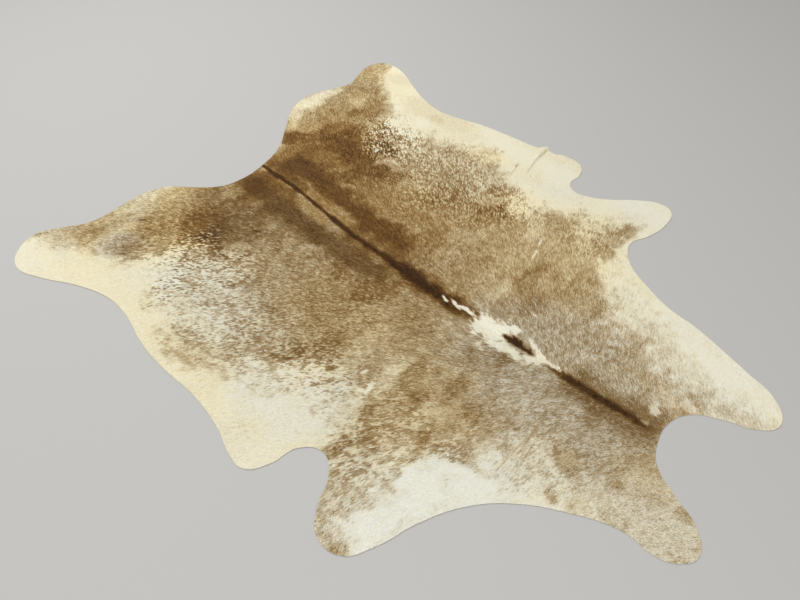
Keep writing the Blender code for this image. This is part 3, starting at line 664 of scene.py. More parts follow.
# Single hairs: spread of their pigment, how much less it is on brown hair, spread of warmth.
PIGMENT_SPREAD = 0.110
BROWN_LOSS = 0.055
WARMTH_SPREAD = 0.12
PIGMENT_LIMITS = (0.02, 0.97)
WARMTH_LIMITS = (0.03, 0.97)
# A hair's root is darker than its tip, and its root's corners differ a little in warmth.
ROOT_SHADE = 0.018
ROOT_SPREAD = 0.006
# Shares of the root and of the tip in the place where a hair's colour is read.
ROOT_SHARE = 0.3
TIP_SHARE = 0.7

# Hair on the legs and the neck is shorter by this share. A hair trimmed at the edge keeps at
# least the next share of its length, and every tip stands this far off the leather.
SHORTER = 0.38
SHORTEST_TRIM = 0.05
TIP_CLEARANCE = 0.0004

# How far single hairs differ from the coat's sizes: least share, greatest share, seed.
HAIR_CHANCES = {
    "across": (-1.0, 1.0, 1),
    "along": (-1.0, 1.0, 2),
    "lift": (0.2, 1.8, 3),
    "roll": (-1.0, 1.0, 4),
    "width": (0.7, 1.3, 5),
    "length": (0.75, 1.2, 6),
}
SCATTER_SEED = 3
COLOUR_SEED = 100

# The sheet's map, as shares of its square: left edge and scale across for the hair side, the
# same for the rest, and the foot. The rim's height is drawn out a little both ways.
HAIR_SIDE_MAP = (0.004, 0.985)
UNDERSIDE_MAP = (0.830, 0.185)
MAP_FOOT = 0.006
RIM_STEP = (0.004, 0.003)
RIM_HEIGHT = 0.003

# The sheet's mesh: inner points keep this share of their spacing from the edge, rows of even
# triangles are this share of a side apart, and points closer than WELD are one point.
EDGE_CLEARANCE = 0.35
TRIANGLE_HEIGHT = math.sqrt(0.75)
WELD = 1e-7
SHARP_ANGLE = math.radians(50)

# The noise is read from a square of random numbers, shifted for each seed.
LATTICE_SIDE = 512
LATTICE = np.random.default_rng(11).random((LATTICE_SIDE, LATTICE_SIDE))
SEED_SHIFT = (17.3, 41.9)
# Noise along the lay is made for a few fixed turns, and blended between them.
LAY_STEP = math.radians(15)
FIRST_TURN = 20

# Soft lights that face the hide: name, place, width and length, the setting with their power.
LIGHTS = (
    ("key_light", (0.0, 3.0, 4.6), (3.0, 2.2), "key_power"),
    ("fill_light", (-2.6, -2.4, 3.0), (3.0, 3.0), "fill_power"),
)
AIR_COLOUR = (1.0, 0.99, 0.97, 1.0)
FLOOR_REACH = 30.0
FLOOR_GAP = 0.0004
SENSOR_WIDTH = 36.0
NEAREST_SEEN = 0.05


def linear(red, green, blue):
    """Turn a colour written as 0 to 255 into the shader's linear numbers."""
    parts = (red / 255, green / 255, blue / 255)
    return tuple(c / 12.92 if c <= 0.04045 else ((c + 0.055) / 1.055) ** 2.4 for c in parts)


def fade(t):
    """Rise smoothly from 0 at t = 0 to 1 at t = 1."""
    t = np.clip(t, 0.0, 1.0)
    return t * t * (3.0 - 2.0 * t)


def noise(x, y, size, seed):
    """Give noise from 0 to 1 whose soft lumps are about size metres across."""
    u = x / size + seed * SEED_SHIFT[0]
    v = y / size + seed * SEED_SHIFT[1]
    column = np.floor(u).astype(int)
    row = np.floor(v).astype(int)
    s = fade(u - column)
    t = fade(v - row)

    def corner(i, j):
        return LATTICE[(column + i) % LATTICE_SIDE, (row + j) % LATTICE_SIDE]

    low = corner(0, 0) * (1 - s) + corner(1, 0) * s
    high = corner(0, 1) * (1 - s) + corner(1, 1) * s
    return low * (1 - t) + high * t


def layered(x, y, layers):
    """Add up layers of soft noise. The sum swings about 0."""
    return sum((noise(x, y, size, seed) - 0.5) * strength for size, strength, seed in layers)


def backbone_x(y):
    """Give the backbone's x at places y along the hide."""
    xs, ys = zip(*reversed(BACKBONE))
    return np.interp(y, ys, xs)


def ridge(distance, half_width):
    """Give the height, from 0 to 1, of a soft ridge at a distance from its line."""
    return fade(1.0 - np.abs(distance) / half_width)


def crease_height(row, x, y):
    """Give how far one crease lifts the sheet at each point."""
    _, x0, y0, x1, y1, half_width, start_height, end_height = row
    length = math.hypot(x1 - x0, y1 - y0)
    along = ((x - x0) * (x1 - x0) + (y - y0) * (y1 - y0)) / length
    across = ((y - y0) * (x1 - x0) - (x - x0) * (y1 - y0)) / length
    share = np.clip(along / length, 0.0, 1.0)
    overshoot = np.maximum(np.maximum(-along, along - length), 0.0)
    height = start_height + (end_height - start_height) * fade(share)
    side = np.where(across < 0, half_width * FOOT_SHARE, half_width)
    return height * ridge(across, side) * ridge(overshoot, half_width)


def lift(x, y):
    """Give how far the underside stands off the floor at each point."""
    low, high = BACKBONE_ENDS
    ends = fade((y - low) / BACKBONE_FADE) * fade((high - y) / BACKBONE_FADE)
    offset = x - backbone_x(y)
    welts = sum(height * ridge(offset - place, half_width)
                for place, half_width, height in BACKBONE_WELTS)
    return welts * ends + sum(crease_height(row, x, y) for row in CREASES)


def lay_angle(x, y):
    """Give the signed angle, in radians, that the hair turns from the way to the tail."""
    offset = x - backbone_x(y)
    total = np.zeros_like(x)
    weights = np.zeros_like(x)
    for _, reach, place_y, degrees in LAY:
        squared = (np.abs(offset) - reach) ** 2 + (y - place_y) ** 2
        weight = np.exp(-squared / (2 * LAY_REACH ** 2)) + LEAST_WEIGHT
        total += weight * math.radians(degrees)
        weights += weight
    return np.sign(offset) * total / weights


def streaks(x, y, angle, width, length, seed):
    """Give noise drawn out along the lay of the hair."""
    low = np.floor(angle / LAY_STEP)
    share = angle / LAY_STEP - low
    total = np.zeros_like(x)
    for turn in range(int(low.min()), int(low.max()) + 2):
        weight = np.where(low == turn, 1 - share, np.where(low + 1 == turn, share, 0.0))
        used = weight > 0
        cos, sin = math.cos(turn * LAY_STEP), math.sin(turn * LAY_STEP)
        along = x[used] * sin + y[used] * cos
        across = x[used] * cos - y[used] * sin
        drawn = noise(across * length / width, along, length, seed + turn + FIRST_TURN)
        total[used] += weight[used] * (drawn - 0.5)
    return total / np.sqrt(share ** 2 + (1 - share) ** 2)


def patch_mask(x, y, ragged, patch, soft):
    """Give the points near a patch, and for each 1 inside it and 0 outside, with a soft edge."""
    _, place_x, place_y, half_width, half_length, turn = patch
    far = max(half_width, half_length) * (PATCH_REACH + soft)
    near = np.flatnonzero((np.abs(x - place_x) < far) & (np.abs(y - place_y) < far))
    cos, sin = math.cos(math.radians(turn)), math.sin(math.radians(turn))
    right, up = x[near] - place_x, y[near] - place_y
    across, along = right * cos + up * sin, up * cos - right * sin
    reach = np.hypot(across / half_width, along / half_length) + ragged[near]
    return near, fade((1 + soft - reach) / (2 * soft))


def patched(field, patches, x, y, ragged):
    """Give a field that starts even and changes towards each patch's value in turn."""
    start, soft, raggedness = field
    ragged = ragged * raggedness
    values = np.full_like(x, start)
    for *patch, value in patches:
        near, mask = patch_mask(x, y, ragged, patch, soft)
        values[near] += (value - values[near]) * mask
    return values


def coat_fields(x, y):
    """Give the coat's level of dark hair, its flecks and its warmth at each point."""
    ragged = layered(x, y, PATCH_EDGES)
    level = patched(LEVEL_FIELD, LEVEL_PATCHES, x, y, ragged)
    start, rise = BROWN_CLOUDS
    calm = 1 - CLOUD_LOSS * fade((level - start) / rise)
    level = level + layered(x, y, LEVEL_CLOUDS) * calm
    fleck = patched(FLECK_FIELD, FLECK_PATCHES, x, y, ragged)
    warm = patched(WARM_FIELD, WARM_PATCHES, x, y, ragged)
    return level, fleck, warm


def margin_mask(x, y):
    """Give 1 in the pale margins of the coat and 0 inside them."""
    rows, lefts, rights = zip(*reversed(MARGINS))
    wander = layered(x, y, MARGIN_EDGES)
    left = fade((np.interp(y, rows, lefts) - x + wander) / MARGIN_SOFTNESS + 0.5)
    right = fade((x - np.interp(y, rows, rights) + wander) / MARGIN_SOFTNESS + 0.5)
    return np.maximum(left, right)


def band_mask(x, y, band, wander):
    """Give 1 inside a band beside the backbone and 0 outside."""
    start, end, start_place, end_place, start_width, end_width = band
    share = np.clip((start - y) / (start - end), 0.0, 1.0)
    place = start_place + (end_place - start_place) * share
    half_width = start_width + (end_width - start_width) * share
    reach = np.abs(x - backbone_x(y) - place) / half_width + wander
    ends = fade((start - y) / BAND_FADE) * fade((y - end) / BAND_FADE)
    return fade((1 + BAND_SOFTNESS - reach) / (2 * BAND_SOFTNESS)) * ends


def tuft_noise(x, y, angle):
    """Give noise for the tufts, which are longer on the fore parts than on the body."""
    start, rise = FORE_PARTS
    fore = fade((start - y) / rise)
    body_tufts, fore_tufts = (
        sum(strength * streaks(x, y, angle, width, length, seed)
            for width, length, strength, seed in layers)
        for layers in (BODY_TUFTS, FORE_TUFTS))
    tuft = body_tufts * (1 - fore) + fore_tufts * fore
    return tuft / (tuft.std() * np.sqrt(fore ** 2 + (1 - fore) ** 2))


def parted_tufts(level, tuft):
    """Part the coat's level into white and dark tufts that come to the same on average."""
    dark = np.maximum(level + DARK_STEP, DARK_TUFT)
    share = np.clip((dark - level) / (dark - WHITE_TUFT), 0.01, 0.99)
    quantile = np.log(share / (1 - share)) / LOGISTIC_TO_NORMAL
    white = 1 / (1 + np.exp((tuft - quantile) / TUFT_SOFTNESS))
    return dark + (WHITE_TUFT - dark) * white


def coat_colour(x, y, angle, grain):
    """Give each hair's pigment and warmth. grain sets how clearly single tufts differ."""
    level, fleck, warm = coat_fields(x, y)
    margin = margin_mask(x, y)
    pale = MARGIN_LEVEL + layered(x, y, MARGIN_CLOUDS)
    level = level + (pale - level) * margin
    fleck = fleck * (1 - margin * FLECK_LOSS)
    tuft = tuft_noise(x, y, angle)
    parted = parted_tufts(level, tuft)
    contrast = grain * fade(level / FULL_TUFTS)
    pigment = level + (parted - level) * fleck * contrast + PLAIN_TUFTS * tuft * contrast
    wander = layered(x, y, BAND_EDGES)
    for _, *band, value, warmth, strength in BACKBONE_BANDS:
        mask = band_mask(x, y, band, wander) * strength
        pigment = pigment + (value + BAND_TUFTS * tuft * grain - pigment) * mask
        warm = warm + (warmth - warm) * mask
    ragged = layered(x, y, MARK_EDGES) + MARK_TUFTS * tuft * grain
    for *patch, value, warmth in MARKS:
        near, mask = patch_mask(x, y, ragged, patch, MARK_SOFTNESS)
        pigment[near] += (value - pigment[near]) * mask
        warm[near] += (warmth - warm[near]) * mask
    warm = np.maximum(warm, PALE_WARMTH - pigment)
    return np.clip(pigment, 0.0, 1.0), np.clip(warm, 0.0, 1.0)


def outline_points():
    """Give the trimmed edge as points on a smooth closed curve through the landmarks."""
    curve = bpy.data.curves.new("outline", "CURVE")
    spline = curve.splines.new("BEZIER")
    spline.bezier_points.add(len(OUTLINE) - 1)
    for point, (_, x, y) in zip(spline.bezier_points, OUTLINE):
        point.co = (x, y, 0.0)
        point.handle_left_type = "AUTO"
        point.handle_right_type = "AUTO"
    spline.use_cyclic_u = True
    spline.resolution_u = OUTLINE_STEPS
    edge = link_object("outline", curve)
    mesh = plain_mesh(edge)
    points = np.array([vert.co[:2] for vert in mesh.vertices])
    bpy.data.objects.remove(edge)
    bpy.data.curves.remove(curve)
    bpy.data.meshes.remove(mesh)
    return points


class EdgeMap:
    """How far each place lies inside the trimmed edge, kept on an even grid."""

    CELL = 0.006
    PAD = 0.06
    # A place past the grid is read from just inside its last cell.
    LAST_CELL = 1.001

    def __init__(self, points):
        """Measure the distance to the edge at each grid place: inside is positive."""
        self.low = points.min(0) - self.PAD
        count = np.ceil((points.max(0) + self.PAD - self.low) / self.CELL).astype(int) + 1
        xs = self.low[0] + np.arange(count[0]) * self.CELL
        ys = self.low[1] + np.arange(count[1]) * self.CELL
        x, y = np.meshgrid(xs, ys, indexing="ij")
        nearest = np.full(x.shape, np.inf)
        inside = np.zeros(x.shape, bool)
        for (ax, ay), (bx, by) in zip(points, np.roll(points, -1, axis=0)):
            run_x, run_y = bx - ax, by - ay
            share = ((x - ax) * run_x + (y - ay) * run_y) / (run_x ** 2 + run_y ** 2)
            share = np.clip(share, 0.0, 1.0)
            gap = (ax + share * run_x - x) ** 2 + (ay + share * run_y - y) ** 2
            nearest = np.minimum(nearest, gap)
            if ay != by:
                crosses = (y < max(ay, by)) & (y >= min(ay, by))
                inside ^= crosses & (x < ax + (y - ay) * run_x / run_y)
        self.depth = np.sqrt(nearest) * np.where(inside, 1, -1)

    def inside(self, x, y):
        """Give the distance inside the edge at each point."""
        columns, rows = self.depth.shape
        u = np.clip((x - self.low[0]) / self.CELL, 0, columns - self.LAST_CELL)
        v = np.clip((y - self.low[1]) / self.CELL, 0, rows - self.LAST_CELL)
        i, j = u.astype(int), v.astype(int)
        s, t = u - i, v - j
        low = self.depth[i, j] * (1 - s) + self.depth[i + 1, j] * s
        high = self.depth[i, j + 1] * (1 - s) + self.depth[i + 1, j + 1] * s
        return low * (1 - t) + high * t


def plain_points(points, spacing):
    """Give an even grid of triangles' corners over the box around the sheet."""
    low, high = points.min(0), points.max(0)
    places = []
    for number, y in enumerate(np.arange(low[1], high[1], spacing * TRIANGLE_HEIGHT)):
        xs = np.arange(low[0] + (number % 2) * spacing / 2, high[0], spacing)
        places.append(np.column_stack([xs, np.full_like(xs, y)]))
    return np.concatenate(places)


def sheet_points(points, edge_map, spacing, crease_spacing):
    """Give places for the sheet's inner points, closer together on the creases."""
    plain = plain_points(points, spacing)
    near = np.zeros(len(plain), bool)
    fine = []
    for _, x0, y0, x1, y1, half_width, _, _ in CREASES:
        run = Vector((x1 - x0, y1 - y0))
        side = Vector((-run.y, run.x)).normalized()
        for step in np.arange(0, run.length, crease_spacing * 2):
            centre = Vector((x0, y0)) + run.normalized() * step
            for across in np.arange(-half_width, half_width + WELD, crease_spacing):
                fine.append(centre + side * across)
        length = math.hypot(x1 - x0, y1 - y0)
        offset = plain - (x0, y0)
        along = offset @ (x1 - x0, y1 - y0) / length
        across = offset @ (y0 - y1, x1 - x0) / length
        near |= (np.abs(across) < half_width + spacing / 2) & (along > -spacing) & (
            along < length + spacing)
    inner = np.concatenate([plain[~near], np.array(fine)])
    return inner[edge_map.inside(inner[:, 0], inner[:, 1]) > spacing * EDGE_CLEARANCE]


def triangulated_sheet(points, inner):
    """Give the vertices and triangles of the flat sheet inside its edge."""
    vertices = [Vector(place) for place in (*points, *inner)]
    count = len(points)
    edges = [(i, (i + 1) % count) for i in range(count)]
    verts, _, faces, _, _, _ = geometry.delaunay_2d_cdt(vertices, edges, [], 1, WELD)
    return np.array([v[:] for v in verts]), np.array(faces)


def link_object(name, data):
    """Make an object at the origin and put it in the scene."""
    made = bpy.data.objects.new(name, data)
    bpy.context.scene.collection.objects.link(made)
    return made


def plain_mesh(source):
    """Give an object's shape, with its modifiers worked out, as a plain mesh."""
    graph = bpy.context.evaluated_depsgraph_get()
    return bpy.data.meshes.new_from_object(source.evaluated_get(graph))


def mesh_from_shape(name, shape):
    """Turn an edited shape into a mesh."""
    mesh = bpy.data.meshes.new(name)
    shape.to_mesh(mesh)
    shape.free()
    return mesh


def add_numbers(mesh, name, values):
    """Store one number for each vertex."""
    attribute = mesh.attributes.new(name, "FLOAT", "POINT")
    attribute.data.foreach_set("value", np.asarray(values, np.float32))


def vertex_places(mesh):
    """Give the mesh's vertices as rows of x, y, z."""
    places = np.empty(len(mesh.vertices) * 3, np.float32)
    mesh.vertices.foreach_get("co", places)
    return places.reshape(-1, 3).astype(float)


def whole_numbers(items, name):
    """Give one whole-number property of each item."""
    values = np.empty(len(items), int)
    items.foreach_get(name, values)
    return values


def set_inputs(tree, node, inputs):
    """Give a node's inputs plain values, or links from the outputs of other nodes."""
    for name, value in inputs.items():
        if isinstance(value, bpy.types.NodeSocket):
            tree.links.new(value, node.inputs[name])
        else:
            node.inputs[name].default_value = value


def add_node(tree, kind, inputs=None, **settings):
    """Add a node with its settings and its inputs."""
    node = tree.nodes.new(kind)
    for name, value in settings.items():
        setattr(node, name, value)
    set_inputs(tree, node, inputs or {})
    return node


def add_sockets(tree, sockets):
    """Give a node group its sockets."""
    for name, way, kind in sockets:
        tree.interface.new_socket(name, in_out=way, socket_type="NodeSocket" + kind)


def make_colour_group(colours):
    """Make the node group that turns pigment and warmth into a hair colour."""
    group = bpy.data.node_groups.new("hair_colour", "ShaderNodeTree")
    add_sockets(group, (("Pigment", "INPUT", "Float"), ("Warmth", "INPUT", "Float"),
                        ("Color", "OUTPUT", "Color")))
    taken = add_node(group, "NodeGroupInput").outputs
    ramp = add_node(group, "ShaderNodeValToRGB", {"Fac": taken["Pigment"]})
    stops = ramp.color_ramp.elements
    for pigment, *_ in HAIR_COLOURS[1:-1]:
        stops.new(pigment)
    for stop, (_, *colour) in zip(stops, HAIR_COLOURS):
        stop.color = (*linear(*colour), 1.0)
    tint = add_node(group, "ShaderNodeMix", {
        "Factor": taken["Warmth"],
        "A": (*colours.grey_tint, 1.0),
        "B": (*colours.gold_tint, 1.0),
    }, data_type="RGBA")
    mixed = add_node(group, "ShaderNodeMix", {
        "Factor": 1.0,
        "A": ramp.outputs["Color"],
        "B": tint.outputs["Result"],
    }, data_type="RGBA", blend_type="MULTIPLY")
    add_node(group, "NodeGroupOutput", {"Color": mixed.outputs["Result"]})
    return group


def new_material(name):
    """Make a material and give its tree too."""
    material = bpy.data.materials.new(name)
    material.use_nodes = True
    return material, material.node_tree


def set_shader(tree, inputs):
    """Set the inputs of a material's main shader."""
    set_inputs(tree, tree.nodes["Principled BSDF"], inputs)


def make_hair_material(group):
    """Make the hair's finish. Each hair's map point holds its pigment and its warmth."""
    material, tree = new_material("coat_hair")
    chart = add_node(tree, "ShaderNodeUVMap", uv_map=UV_MAP)
    split = add_node(tree, "ShaderNodeSeparateXYZ", {"Vector": chart.outputs["UV"]})
    colour = add_node(tree, "ShaderNodeGroup", {
        "Pigment": split.outputs["X"],
        "Warmth": split.outputs["Y"],
    }, node_tree=group)
    set_shader(tree, {
        "Base Color": colour.outputs["Color"],
        "Roughness": 0.60,
        "Specular IOR Level": 0.12,
    })
    return material


def make_ground_material(group):
    """Make the finish under the hair: the roots' colour, broken up by fine grain."""
    material, tree = new_material("hair_ground")
    pigment = add_node(tree, "ShaderNodeAttribute", attribute_name="pigment")
    warmth = add_node(tree, "ShaderNodeAttribute", attribute_name="warmth")
    place = add_node(tree, "ShaderNodeTexCoord")
    grain = add_node(tree, "ShaderNodeTexNoise", {
        "Vector": place.outputs["Object"],
        "Scale": 260.0,
        "Detail": 3.0,
    }).outputs["Fac"]
    # The grain's 0 to 1 becomes -0.12 to 0.18, so it lightens and darkens.
    shade = add_node(tree, "ShaderNodeMath", {0: grain, 1: 0.30, 2: -0.12},
                     operation="MULTIPLY_ADD")
    total = add_node(tree, "ShaderNodeMath", {
        0: shade.outputs["Value"],
        1: pigment.outputs["Fac"],
    }, operation="ADD")
    colour = add_node(tree, "ShaderNodeGroup", {
        "Pigment": total.outputs["Value"],
        "Warmth": warmth.outputs["Fac"],
    }, node_tree=group)
    bump = add_node(tree, "ShaderNodeBump", {
        "Height": grain,
        "Strength": 0.35,
        "Distance": 0.0008,
    })
    set_shader(tree, {
        "Base Color": colour.outputs["Color"],
        "Normal": bump.outputs["Normal"],
        "Roughness": 0.90,
        "Specular IOR Level": 0.05,
    })
    return material


def make_suede_material(name, pale, deep, nap_scale, nap_depth):
    """Make the napped finish of bare leather, for the underside and for the cut edge."""
    material, tree = new_material(name)
    place = add_node(tree, "ShaderNodeTexCoord").outputs["Object"]
    clouds = add_node(tree, "ShaderNodeTexNoise", {
        "Vector": place,
        "Scale": 7.0,
        "Detail": 8.0,
        "Roughness": 0.62,
    })
    nap = add_node(tree, "ShaderNodeTexNoise", {
        "Vector": place,
        "Scale": nap_scale,
        "Detail": 4.0,
    }).outputs["Fac"]
    both = add_node(tree, "ShaderNodeMix", {
        "Factor": 0.45,
        "A": clouds.outputs["Fac"],
        "B": nap,
    }, data_type="FLOAT")
    colour = add_node(tree, "ShaderNodeMix", {
        "Factor": both.outputs["Result"],
        "A": (*deep, 1.0),
        "B": (*pale, 1.0),
    }, data_type="RGBA")
    bump = add_node(tree, "ShaderNodeBump", {
        "Height": nap,
        "Strength": 0.6,
        "Distance": nap_depth,
    })
    set_shader(tree, {
        "Base Color": colour.outputs["Result"],
        "Normal": bump.outputs["Normal"],
        "Roughness": 0.95,
        "Specular IOR Level": 0.12,
        "Sheen Weight": 0.25,
        "Sheen Roughness": 0.6,
    })
    return material


def map_sheet(mesh):
    """Map the hair side on the left of the square, and the rest, squeezed, on the right."""
    layer = mesh.uv_layers.new(name=UV_MAP)
    places = vertex_places(mesh)
    low, high = places.min(0), places.max(0)
    spots = places[whole_numbers(mesh.loops, "vertex_index")]
    top = np.repeat(whole_numbers(mesh.polygons, "material_index") == HAIR_SIDE,
                    whole_numbers(mesh.polygons, "loop_total"))
    u = (spots[:, 0] - low[0]) / (high[1] - low[1])
    v = (spots[:, 1] - low[1]) / (high[1] - low[1])
    height = spots[:, 2] / RIM_HEIGHT
    top_edge, top_scale = HAIR_SIDE_MAP
    rest_edge, rest_scale = UNDERSIDE_MAP
    step_across, step_along = RIM_STEP
    across = np.where(top, top_edge + u * top_scale,
                      rest_edge + u * rest_scale + step_across * height)
    along = MAP_FOOT + v * top_scale + np.where(top, 0.0, step_along * height)
    layer.data.foreach_set("uv", np.column_stack([across, along]).ravel().astype(np.float32))


def make_blade(finish):
    """Make the flat tapered blade that stands for one lock of hair, a metre long."""
    shape = bmesh.new()
    bmesh.ops.create_grid(shape, x_segments=1, y_segments=1, size=0.5)
    bmesh.ops.translate(shape, verts=shape.verts, vec=(0.0, 0.5, 0.0))
    tip = [vert for vert in shape.verts if vert.co.y > 0.5]
    bmesh.ops.pointmerge(shape, verts=tip, merge_co=(0.0, 1.0, 0.0))
    mesh = mesh_from_shape("hair_blade", shape)
    mesh.materials.append(finish)
    return link_object("hair_blade", mesh)


def make_coat_tree():
    """Make the node tree that scatters hair blades over a part of the sheet."""
    tree = bpy.data.node_groups.new("coat_of_hair", "GeometryNodeTree")
    add_sockets(tree, (
        ("Geometry", "OUTPUT", "Geometry"), ("Geometry", "INPUT", "Geometry"),
        ("Blade", "INPUT", "Object"), ("Finish", "INPUT", "Material"),
        ("Density", "INPUT", "Float"), ("Length", "INPUT", "Float"),
        ("Width", "INPUT", "Float"), ("Lift", "INPUT", "Float"),
        ("Scatter", "INPUT", "Float"), ("Roll", "INPUT", "Float"), ("Seed", "INPUT", "Int")))
    taken = add_node(tree, "NodeGroupInput").outputs

    def product(first, second):
        node = add_node(tree, "ShaderNodeMath", {0: first, 1: second}, operation="MULTIPLY")
        return node.outputs["Value"]

    def varied(chance, size):
        least, greatest, seed = HAIR_CHANCES[chance]
        share = add_node(tree, "FunctionNodeRandomValue",
                         {2: least, 3: greatest, "Seed": seed}, data_type="FLOAT")
        return product(share.outputs[1], size)

    def stored(name, kind):
        node = add_node(tree, "GeometryNodeInputNamedAttribute", {"Name": name}, data_type=kind)
        return node.outputs["Attribute"]

    roots = add_node(tree, "GeometryNodeDistributePointsOnFaces", {
        "Mesh": taken["Geometry"],
        "Density": taken["Density"],
        "Seed": taken["Seed"],
    }).outputs
    stray = add_node(tree, "ShaderNodeCombineXYZ", {
        "X": varied("across", taken["Scatter"]),
        "Y": varied("along", taken["Scatter"]),
        "Z": varied("lift", taken["Lift"]),
    })
    way = add_node(tree, "ShaderNodeVectorMath", {
        0: stored("lay", "FLOAT_VECTOR"),
        1: stray.outputs["Vector"],
    }, operation="ADD")
    aimed = add_node(tree, "FunctionNodeAlignRotationToVector", {
        "Vector": way.outputs["Vector"],
    }, axis="Y")
    level = add_node(tree, "FunctionNodeAlignRotationToVector", {
        "Rotation": aimed.outputs["Rotation"],
        "Vector": roots["Normal"],
    }, axis="Z", pivot_axis="Y")
    roll = add_node(tree, "ShaderNodeCombineXYZ", {"Y": varied("roll", taken["Roll"])})
    rolled = add_node(tree, "FunctionNodeEulerToRotation", {"Euler": roll.outputs["Vector"]})
    turned = add_node(tree, "FunctionNodeRotateRotation", {
        "Rotation": level.outputs["Rotation"],
        "Rotate By": rolled.outputs["Rotation"],
    }, rotation_space="LOCAL")
    size = add_node(tree, "ShaderNodeCombineXYZ", {
        "X": varied("width", taken["Width"]),
        "Y": product(varied("length", taken["Length"]), stored("length", "FLOAT")),
        "Z": 1.0,
    })
    blade = add_node(tree, "GeometryNodeObjectInfo", {"Object": taken["Blade"]})
    hairs = add_node(tree, "GeometryNodeInstanceOnPoints", {
        "Points": roots["Points"],
        "Instance": blade.outputs["Geometry"],
        "Rotation": turned.outputs["Rotation"],
        "Scale": size.outputs["Vector"],
    })
    real = add_node(tree, "GeometryNodeRealizeInstances", {"Geometry": hairs.outputs["Instances"]})
    finished = add_node(tree, "GeometryNodeSetMaterial", {
        "Geometry": real.outputs["Geometry"],
        "Material": taken["Finish"],
    })
    add_node(tree, "NodeGroupOutput", {"Geometry": finished.outputs["Geometry"]})
    return tree


def set_input(modifier, name, value):
    """Set one named input of a Geometry Nodes modifier."""
    for item in modifier.node_group.interface.items_tree:
        if item.in_out == "INPUT" and item.name == name:
            modifier[item.identifier] = value
            return
    raise KeyError(name)


def top_faces(mesh):
    """Give the mesh's vertices' places and the hair side's triangles."""
    corners = [face.vertices[:] for face in mesh.polygons if face.material_index == HAIR_SIDE]
    return vertex_places(mesh), np.array(corners)


def hair_share(x, y):
    """Give how long the hair is at each place, as a share of the hair on the body."""
    across, across_rise = LEG_ACROSS
    along, along_rise = LEG_ALONG
    start, rise = NECK_HAIR
    leg = fade((np.abs(x) - across) / across_rise)
    leg = leg * fade((np.abs(y - LEG_MIDDLE) - along) / along_rise)
    neck = fade((start - y) / rise)
    return 1.0 - SHORTER * np.maximum(leg, neck)


def ground_part(ground, name, far, near):
    """Make one part of the hair side, with the lay and length of its hair at each point."""
    places, corners = ground
    middle = places[corners].mean(1)[:, 1]
    mine = corners[(middle >= far) & (middle < near)]
    used, numbers = np.unique(mine, return_inverse=True)
    spots = places[used]
    triangles = numbers.reshape(-1, 3)
    mesh = bpy.data.meshes.new(name + "_ground")
    mesh.from_pydata(spots.tolist(), [], triangles.tolist())
    angle = lay_angle(spots[:, 0], spots[:, 1])
    lay = np.column_stack([np.sin(angle), np.cos(angle), np.zeros_like(angle)])
    attribute = mesh.attributes.new("lay", "FLOAT_VECTOR", "POINT")
    attribute.data.foreach_set("vector", lay.astype(np.float32).ravel())
    add_numbers(mesh, "length", hair_share(spots[:, 0], spots[:, 1]))
    sides = spots[triangles]
    cross = np.cross(sides[:, 1] - sides[:, 0], sides[:, 2] - sides[:, 0])
    return link_object(mesh.name, mesh), np.linalg.norm(cross, axis=1).sum() / 2


def trim_hair(mesh, edge_map, sizes):
    """Shorten the hairs that reach past the cut edge, and lift tips out of the leather."""
    places = vertex_places(mesh).reshape(-1, 3, 3)
    roots = (places[:, 0] + places[:, 1]) / 2
    tips = places[:, 2]
    root_depth = edge_map.inside(roots[:, 0], roots[:, 1]) + sizes.edge_overhang
    tip_depth = edge_map.inside(tips[:, 0], tips[:, 1]) + sizes.edge_overhang
    share = np.where(tip_depth < 0, root_depth / np.maximum(root_depth - tip_depth, 1e-6), 1.0)
    tips = roots + (tips - roots) * np.clip(share, SHORTEST_TRIM, 1.0)[:, None]
    ground = lift(tips[:, 0], tips[:, 1]) + sizes.leather_thickness + TIP_CLEARANCE
    tips[:, 2] = np.maximum(tips[:, 2], ground)
    places[:, 2] = tips
    mesh.vertices.foreach_set("co", places.astype(np.float32).ravel())
    mesh.update()


def colour_hair(mesh, number):
    """Write each hair's pigment and warmth into its map point: dark root and pale tip."""
    places = vertex_places(mesh).reshape(-1, 3, 3)
    shown = places[:, :2].mean(1) * ROOT_SHARE + places[:, 2] * TIP_SHARE
    angle = lay_angle(shown[:, 0], shown[:, 1])
    pigment, warmth = coat_colour(shown[:, 0], shown[:, 1], angle, grain=1.0)
    chance = np.random.default_rng(COLOUR_SEED + number)
    start, rise = BROWN_HAIRS
    spread = PIGMENT_SPREAD - BROWN_LOSS * fade((pigment - start) / rise)
    differences = chance.normal(0.0, 1.0, len(pigment)) * spread * fade(pigment / FULL_HAIRS)
    pigment = np.clip(pigment + differences, *PIGMENT_LIMITS)
    warmth = np.clip(warmth + chance.normal(0.0, WARMTH_SPREAD, len(warmth)), *WARMTH_LIMITS)
    corners = np.empty((len(pigment), 3, 2))
    corners[:, 0] = np.column_stack([pigment + ROOT_SHADE, warmth - ROOT_SPREAD])
    corners[:, 1] = np.column_stack([pigment + ROOT_SHADE, warmth + ROOT_SPREAD])
    corners[:, 2] = np.column_stack([pigment - ROOT_SHADE, warmth])
    loops = whole_numbers(mesh.loops, "vertex_index")
    layer = mesh.uv_layers.get(UV_MAP) or mesh.uv_layers.new(name=UV_MAP)
    layer.data.foreach_set("uv", corners.reshape(-1, 2)[loops].ravel().astype(np.float32))


def add_light(name, place, size, power):
    """Add a soft rectangular light that faces the middle of the hide."""
    light = bpy.data.lights.new(name, "AREA")
    light.shape = "RECTANGLE"
    light.size, light.size_y = size
    light.energy = power
    holder = link_object(name, light)
    holder.location = place
    holder.rotation_mode = "QUATERNION"
    holder.rotation_quaternion = (-Vector(place)).to_track_quat("-Z", "Y")


